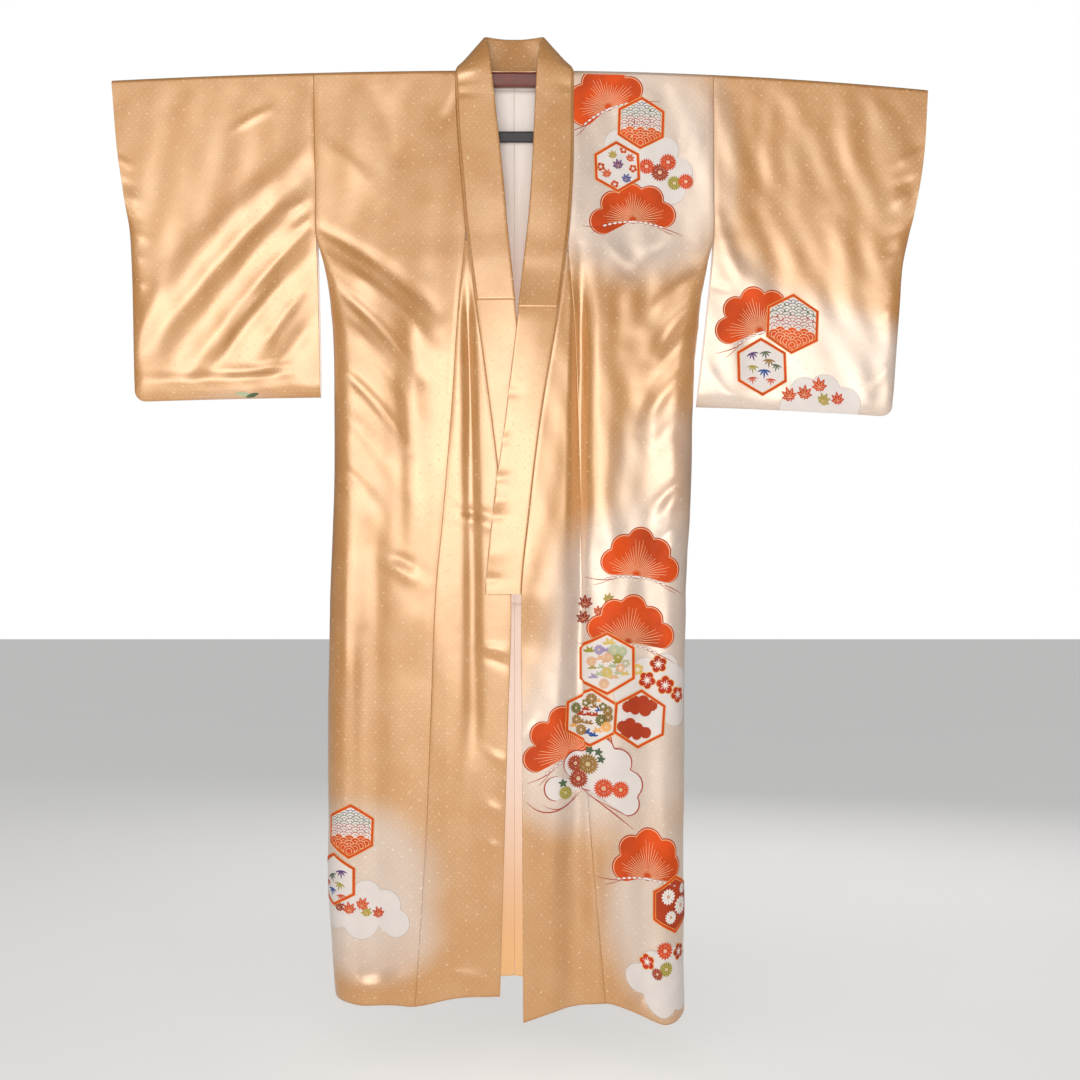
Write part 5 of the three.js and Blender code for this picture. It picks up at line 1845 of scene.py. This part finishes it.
def front_group():
    """Down the wearer's left front, from the knee to the shin, over the overlap's seam."""
    art = Drawing()
    art.frame(210, -950)
    cloud(art, [(-26, -18, 28), (-4, 16, 22), (26, 20, 24), (48, -4, 26), (44, -44, 26), (8, -46, 24)])
    pine_fan(art, 191, -783, -6, ((9, 50), (48, 51), (82, 56), (114, 48), (150, 42)))
    pine_fan(art, 178, -888, -8, ((10, 55), (45, 51), (81, 56), (115, 53), (153, 50)))
    art.frame(0, 0)
    scattered(art, "maple", [(112, -830, 14, 0, "maple_deep"), (110, -853, 14, 25, "maple_deep"),
                             (131, -842, 11, -40, "maple"), (147, -823, 11, -12, "olive")], 2)
    pine_fan(art, 88.6, -1063, 24, ((186, 56), (144, 55), (104, 59), (64, 56), (26, 50)))
    art.frame(111.6, -1113)
    cloud(art, [(24.5, 57, 20), (50, 37, 22), (67, 3, 22), (66, -26, 18), (-45, -2, 19), (8, 26, 32),
                (-12, 34, 22)], 6, "twig", 2.0)
    art.frame(120.5, -1005, -2)
    hexagon_frame(art, 9, 46)
    browns = ("bloom_brown", "olive_deep", "rust", "gold_thread", "bloom_brown", "blue")
    flower_carpet(art, 40, 11, 9, browns, 26)
    art.frame(196, -1008, -4)
    hexagon_frame(art, 12, 46)
    pine_clumps = (((0, 20), ((-20, -2, 9), (-10, 6, 10), (4, 7, 10), (18, 2, 9), (8, -6, 10), (-8, -6, 8))),
                   ((-7, -17), ((-19, 4, 9), (-8, 9, 9), (4, 1, 10), (18, -4, 9), (4, -8, 8), (-12, -6, 9))))
    for centre, circles in pine_clumps:
        reach = lobes(circles)
        art.shape(centre, lambda a, reach=reach: reach(a) + 0.7 * math.sin(a * 44), "rust", 14, 176)
    art.frame(145.5, -921)
    hexagon_frame(art, 15, 49)
    flower_carpet(art, 43, 17, 4, ("peach", "sage", "olive", "sage", "lilac", "peach", "yellow"), 30)
    art.frame(0, 0)
    scattered(art, "plum", [(226, -923, 14, 10, "plum"), (208, -948, 14, 40, "plum"),
                            (237, -956, 15, 0, "plum"), (259, -971, 13, 30, "plum"),
                            (193, -931, 9, 10, "yellow")], 4)
    flowers = ((80, -1122, 11, "olive"), (96, -1077, 14, "kiku_deep"), (116, -1078, 17, "bloom_brown"),
               (101, -1101, 16, "kiku_deep"), (140, -1115, 16, "kiku"), (166, -1117, 14, "kiku"))
    for k, (x, z, size, colour) in enumerate(flowers):
        chrysanthemum(art, (x, z), size, colour, 8 + 0.5 * k, 22, "yellow")
    for x, z in ((119, -1056), (132, -1059), (136, -1070), (76, -1107)):
        for k in range(5):
            a = math.radians(18 + 72 * k + x)
            art.leaf(spot((x, z), a, 3.4), math.degrees(a), 7.5, 4.4, "leaf", 12, 8)
    for start, middle, end, wide in (((109, -1119), (148, -1148), (187, -1178), 1.8),
                                     ((128, -1132), (158, -1148), (182, -1160), 1.2),
                                     ((106, -1120), (60, -1151), (20, -1134), 1.8),
                                     ((98, -1124), (74, -1146), (46, -1140), 1.2)):
        art.stroke(start, middle, end, wide, "twig", 9, 14)
    return art


def hem_group():
    """At the wearer's left hem, round the side."""
    art = Drawing()
    art.frame(232, -1400)
    cloud(art, [(-36, 0, 22), (-14, 24, 22), (16, 30, 22), (44, 12, 24), (40, -20, 24), (0, -16, 30)])
    pine_fan(art, 208.5, -1247, -4, ((163, 38), (121, 49), (88, 54), (54, 47), (24, 38)))
    art.frame(254, -1288)
    hexagon_frame(art, 6, 42, "rust")
    for x, z, size in ((-12, 12, 12), (12, -4, 14), (-8, -18, 10), (16, 20, 8)):
        chrysanthemum(art, (x, z), size, "white", 8, 14, "peach", "rust")
    art.frame(0, 0)
    for x, z, size, colour in ((208, -1372, 12, "plum"), (236, -1352, 13, "kiku"), (262, -1358, 12, "plum"),
                               (238, -1378, 11, "olive"), (224, -1386, 9, "kiku_deep")):
        if colour == "plum":
            plum(art, (x, z), size, 15, colour, 4)
        else:
            chrysanthemum(art, (x, z), size, colour, 4, 16)
    return art


def right_hem_group():
    """At the wearer's right hem, round the side."""
    art = Drawing()
    art.frame(228, -1312)
    cloud(art, [(-44, -14, 22), (-28, 14, 24), (2, 28, 24), (34, 20, 26), (56, -4, 24), (10, -12, 28)])
    art.frame(256, -1184, 2)
    hexagon_frame(art, 6, 43)
    sea_waves(art, 38, 8.6, WAVE_TONES, 8)
    art.frame(284, -1262)
    hexagon_frame(art, 9, 42)
    scattered(art, "bamboo", [(-14, 16, 14, 0, "purple"), (-12, -4, 14, 15, "olive"),
                              (6, 8, 14, -20, "leaf"), (4, -14, 14, 10, "blue"),
                              (-14, -22, 12, 0, "maple"), (18, -4, 13, 8, "maple")], 11)
    art.frame(0, 0)
    scattered(art, "maple", [(274, -1306, 12, 10, "maple_deep"), (256, -1308, 13, -10, "maple"),
                             (238, -1300, 13, 30, "maple"), (230, -1312, 11, 0, "olive"),
                             (210, -1313, 12, -20, "plum")], 4)
    return art


def sleeve_group():
    """On the front of the wearer's left sleeve."""
    art = Drawing()
    art.frame(486, -496)
    cloud(art, [(-44, -4, 22), (-26, 20, 24), (6, 26, 24), (38, 8, 24), (44, -16, 18), (0, -12, 26)])
    pine_fan(art, 388, -383.5, 20, ((182.6, 52), (141, 50), (102, 50), (64, 50), (26, 48)))
    art.frame(440, -370, -2)
    hexagon_frame(art, 6, 47)
    sea_waves(art, 42, 9.4, WAVE_TONES, 8)
    art.frame(391.5, -439, 2)
    hexagon_frame(art, 9, 45)
    scattered(art, "bamboo", [(-15, 22, 14, 20, "purple"), (6, 24, 13, 10, "leaf"),
                              (12, 12, 14, 0, "bloom_brown"), (-14, 2, 13, 0, "olive"),
                              (24, 4, 12, -10, "leaf"), (4, -4, 15, 0, "blue"),
                              (-16, -16, 12, 10, "maple"), (14, -18, 12, 0, "maple")], 11)
    art.frame(0, 0)
    scattered(art, "maple", [(436, -484, 15, 20, "maple"), (459, -480, 15, -6, "maple"),
                             (483, -467, 15, 8, "maple"), (488, -488, 13, -30, "olive"),
                             (512, -486, 13, 10, "plum")], 4)
    return art


def tip_group():
    """A leaf's tip at the foot of the wearer's right sleeve."""
    art = Drawing()
    art.leaf((428, -497), 8, 26, 8, "sage", 2)
    art.leaf((414, -499), -14, 22, 7, "leaf", 3)
    return art


GROUPS = (
    ("shoulder_motifs", "front_left", shoulder_group),
    ("front_motifs", "lower_left", front_group),
    ("hem_motifs", "lower_left", hem_group),
    ("right_hem_motifs", "lower_right", right_hem_group),
    ("sleeve_motifs", "sleeve_left", sleeve_group),
    ("sleeve_tip_motifs", "sleeve_right", tip_group),
)


class KIMONO_OT_motifs(bpy.types.Operator):
    """Lay the painted and stitched motifs on the cloth"""

    bl_idname = "kimono.motifs"
    bl_label = "Motifs"

    def execute(self, context):
        materials(settings_of(context))
        for name, face, draw in GROUPS:
            lay_on_cloth(draw(), faces()[face], name)
        return {"FINISHED"}


class KIMONO_OT_sheets(bpy.types.Operator):
    """Do nothing: no cuts are stated"""

    bl_idname = "kimono.sheets"
    bl_label = "Cuts"

    def execute(self, context):
        return {"FINISHED"}


LAMPS = table(
    "name place target size share colour",
    ("key", (-1.6, -2.7, 0.9), (0.0, 0.0, -0.7), (1.6, 1.2), 0.12, (1.0, 0.98, 0.95)),
    ("glow", (-0.35, -3.1, -0.46), (-0.35, 0.0, -0.46), (3.6, 0.75), 1.5, (1.0, 0.98, 0.95)),
    ("chest glow", (-0.15, -3.1, 0.28), (-0.15, 0.0, 0.28), (1.1, 0.6), 0.4, (1.0, 0.98, 0.95)),
    ("back fill", (0.8, 2.6, 0.6), (0.0, 0.0, -0.7), (2.4, 2.0), 0.7, (1.0, 0.98, 0.96)),
)
CAMERA = {"place": (0.041, -3.0, -0.729), "lens": 63.1, "sensor": 36}
WHITE = (1, 1, 1, 1)


class KIMONO_OT_stage(bpy.types.Operator):
    """Set up the floor, the soft studio light and the camera"""

    bl_idname = "kimono.stage"
    bl_label = "Stage"

    def execute(self, context):
        settings = settings_of(context)
        scene = context.scene
        scene.view_settings.view_transform = "Standard"
        self.floor()
        self.world(scene)
        for lamp in LAMPS:
            self.lamp(lamp, settings.lamp_power * lamp["share"])
        camera = bpy.data.cameras.new("camera")
        camera.lens = CAMERA["lens"]
        camera.sensor_width = CAMERA["sensor"]
        obj = bpy.data.objects.new("camera", camera)
        scene.collection.objects.link(obj)
        obj.location = CAMERA["place"]
        obj.rotation_euler = (math.pi / 2, 0, 0)
        scene.camera = obj
        return {"FINISHED"}

    def floor(self):
        bm = bmesh.new()
        bmesh.ops.create_grid(bm, x_segments=8, y_segments=8, size=14.0)
        for vert in bm.verts:
            vert.co.z = FLOOR
        obj = new_mesh_object("floor", bm)
        nodes = Nodes("floor")
        colour = nodes.mix(nodes.noise(nodes.place(), 2.0), srgb("f2f1ef"), srgb("ebeae8"))
        shine = {"Base Color": colour, "Roughness": 0.9, "Emission Color": WHITE, "Emission Strength": 0.32}
        obj.data.materials.append(nodes.finish(shine))

    def world(self, scene):
        """Dim white light all round, behind which the background stays white."""
        world = bpy.data.worlds.new("studio")
        world.use_nodes = True
        tree = world.node_tree
        back = tree.nodes["Background"]
        back.inputs["Color"].default_value = WHITE
        back.inputs["Strength"].default_value = 0.2
        plain = tree.nodes.new("ShaderNodeBackground")
        plain.inputs["Color"].default_value = WHITE
        plain.inputs["Strength"].default_value = 1.0
        seen = tree.nodes.new("ShaderNodeLightPath")
        both = tree.nodes.new("ShaderNodeMixShader")
        tree.links.new(seen.outputs["Is Camera Ray"], both.inputs[0])
        tree.links.new(back.outputs[0], both.inputs[1])
        tree.links.new(plain.outputs[0], both.inputs[2])
        tree.links.new(both.outputs[0], tree.nodes["World Output"].inputs["Surface"])
        scene.world = world

    def lamp(self, lamp, power):
        light = bpy.data.lights.new(lamp["name"], "AREA")
        light.shape = "RECTANGLE"
        light.size, light.size_y = lamp["size"]
        light.energy = power
        light.color = lamp["colour"]
        obj = bpy.data.objects.new(lamp["name"], light)
        bpy.context.scene.collection.objects.link(obj)
        obj.location = lamp["place"]
        way = Vector(lamp["target"]) - Vector(lamp["place"])
        obj.rotation_euler = way.to_track_quat("-Z", "Y").to_euler()


class KIMONO_PT_panel(bpy.types.Panel):
    """The kimono's settings and steps in the sidebar"""

    bl_label = "Kimono"
    bl_idname = "KIMONO_PT_panel"
    bl_space_type = "VIEW_3D"
    bl_region_type = "UI"
    bl_category = "Kimono"

    def draw(self, context):
        settings = settings_of(context)
        for name in KIMONO_PG_settings.__annotations__:
            self.layout.prop(settings, name)
        for step in STEPS:
            self.layout.operator(step.bl_idname)


STEPS = (
    KIMONO_OT_stage,
    KIMONO_OT_hanger,
    KIMONO_OT_body,
    KIMONO_OT_overlaps,
    KIMONO_OT_sleeves,
    KIMONO_OT_neckband,
    KIMONO_OT_linings,
    KIMONO_OT_motifs,
    KIMONO_OT_sheets,
)
CLASSES = (KIMONO_PG_settings, *STEPS, KIMONO_PT_panel)


def register():
    for cls in CLASSES:
        bpy.utils.register_class(cls)
    bpy.types.Scene.kimono = bpy.props.PointerProperty(type=KIMONO_PG_settings)


def unregister():
    del bpy.types.Scene.kimono
    for cls in reversed(CLASSES):
        bpy.utils.unregister_class(cls)


def main():
    register()
    for step in STEPS:
        group, name = step.bl_idname.split(".")
        getattr(getattr(bpy.ops, group), name)()


if __name__ == "__main__":
    main()
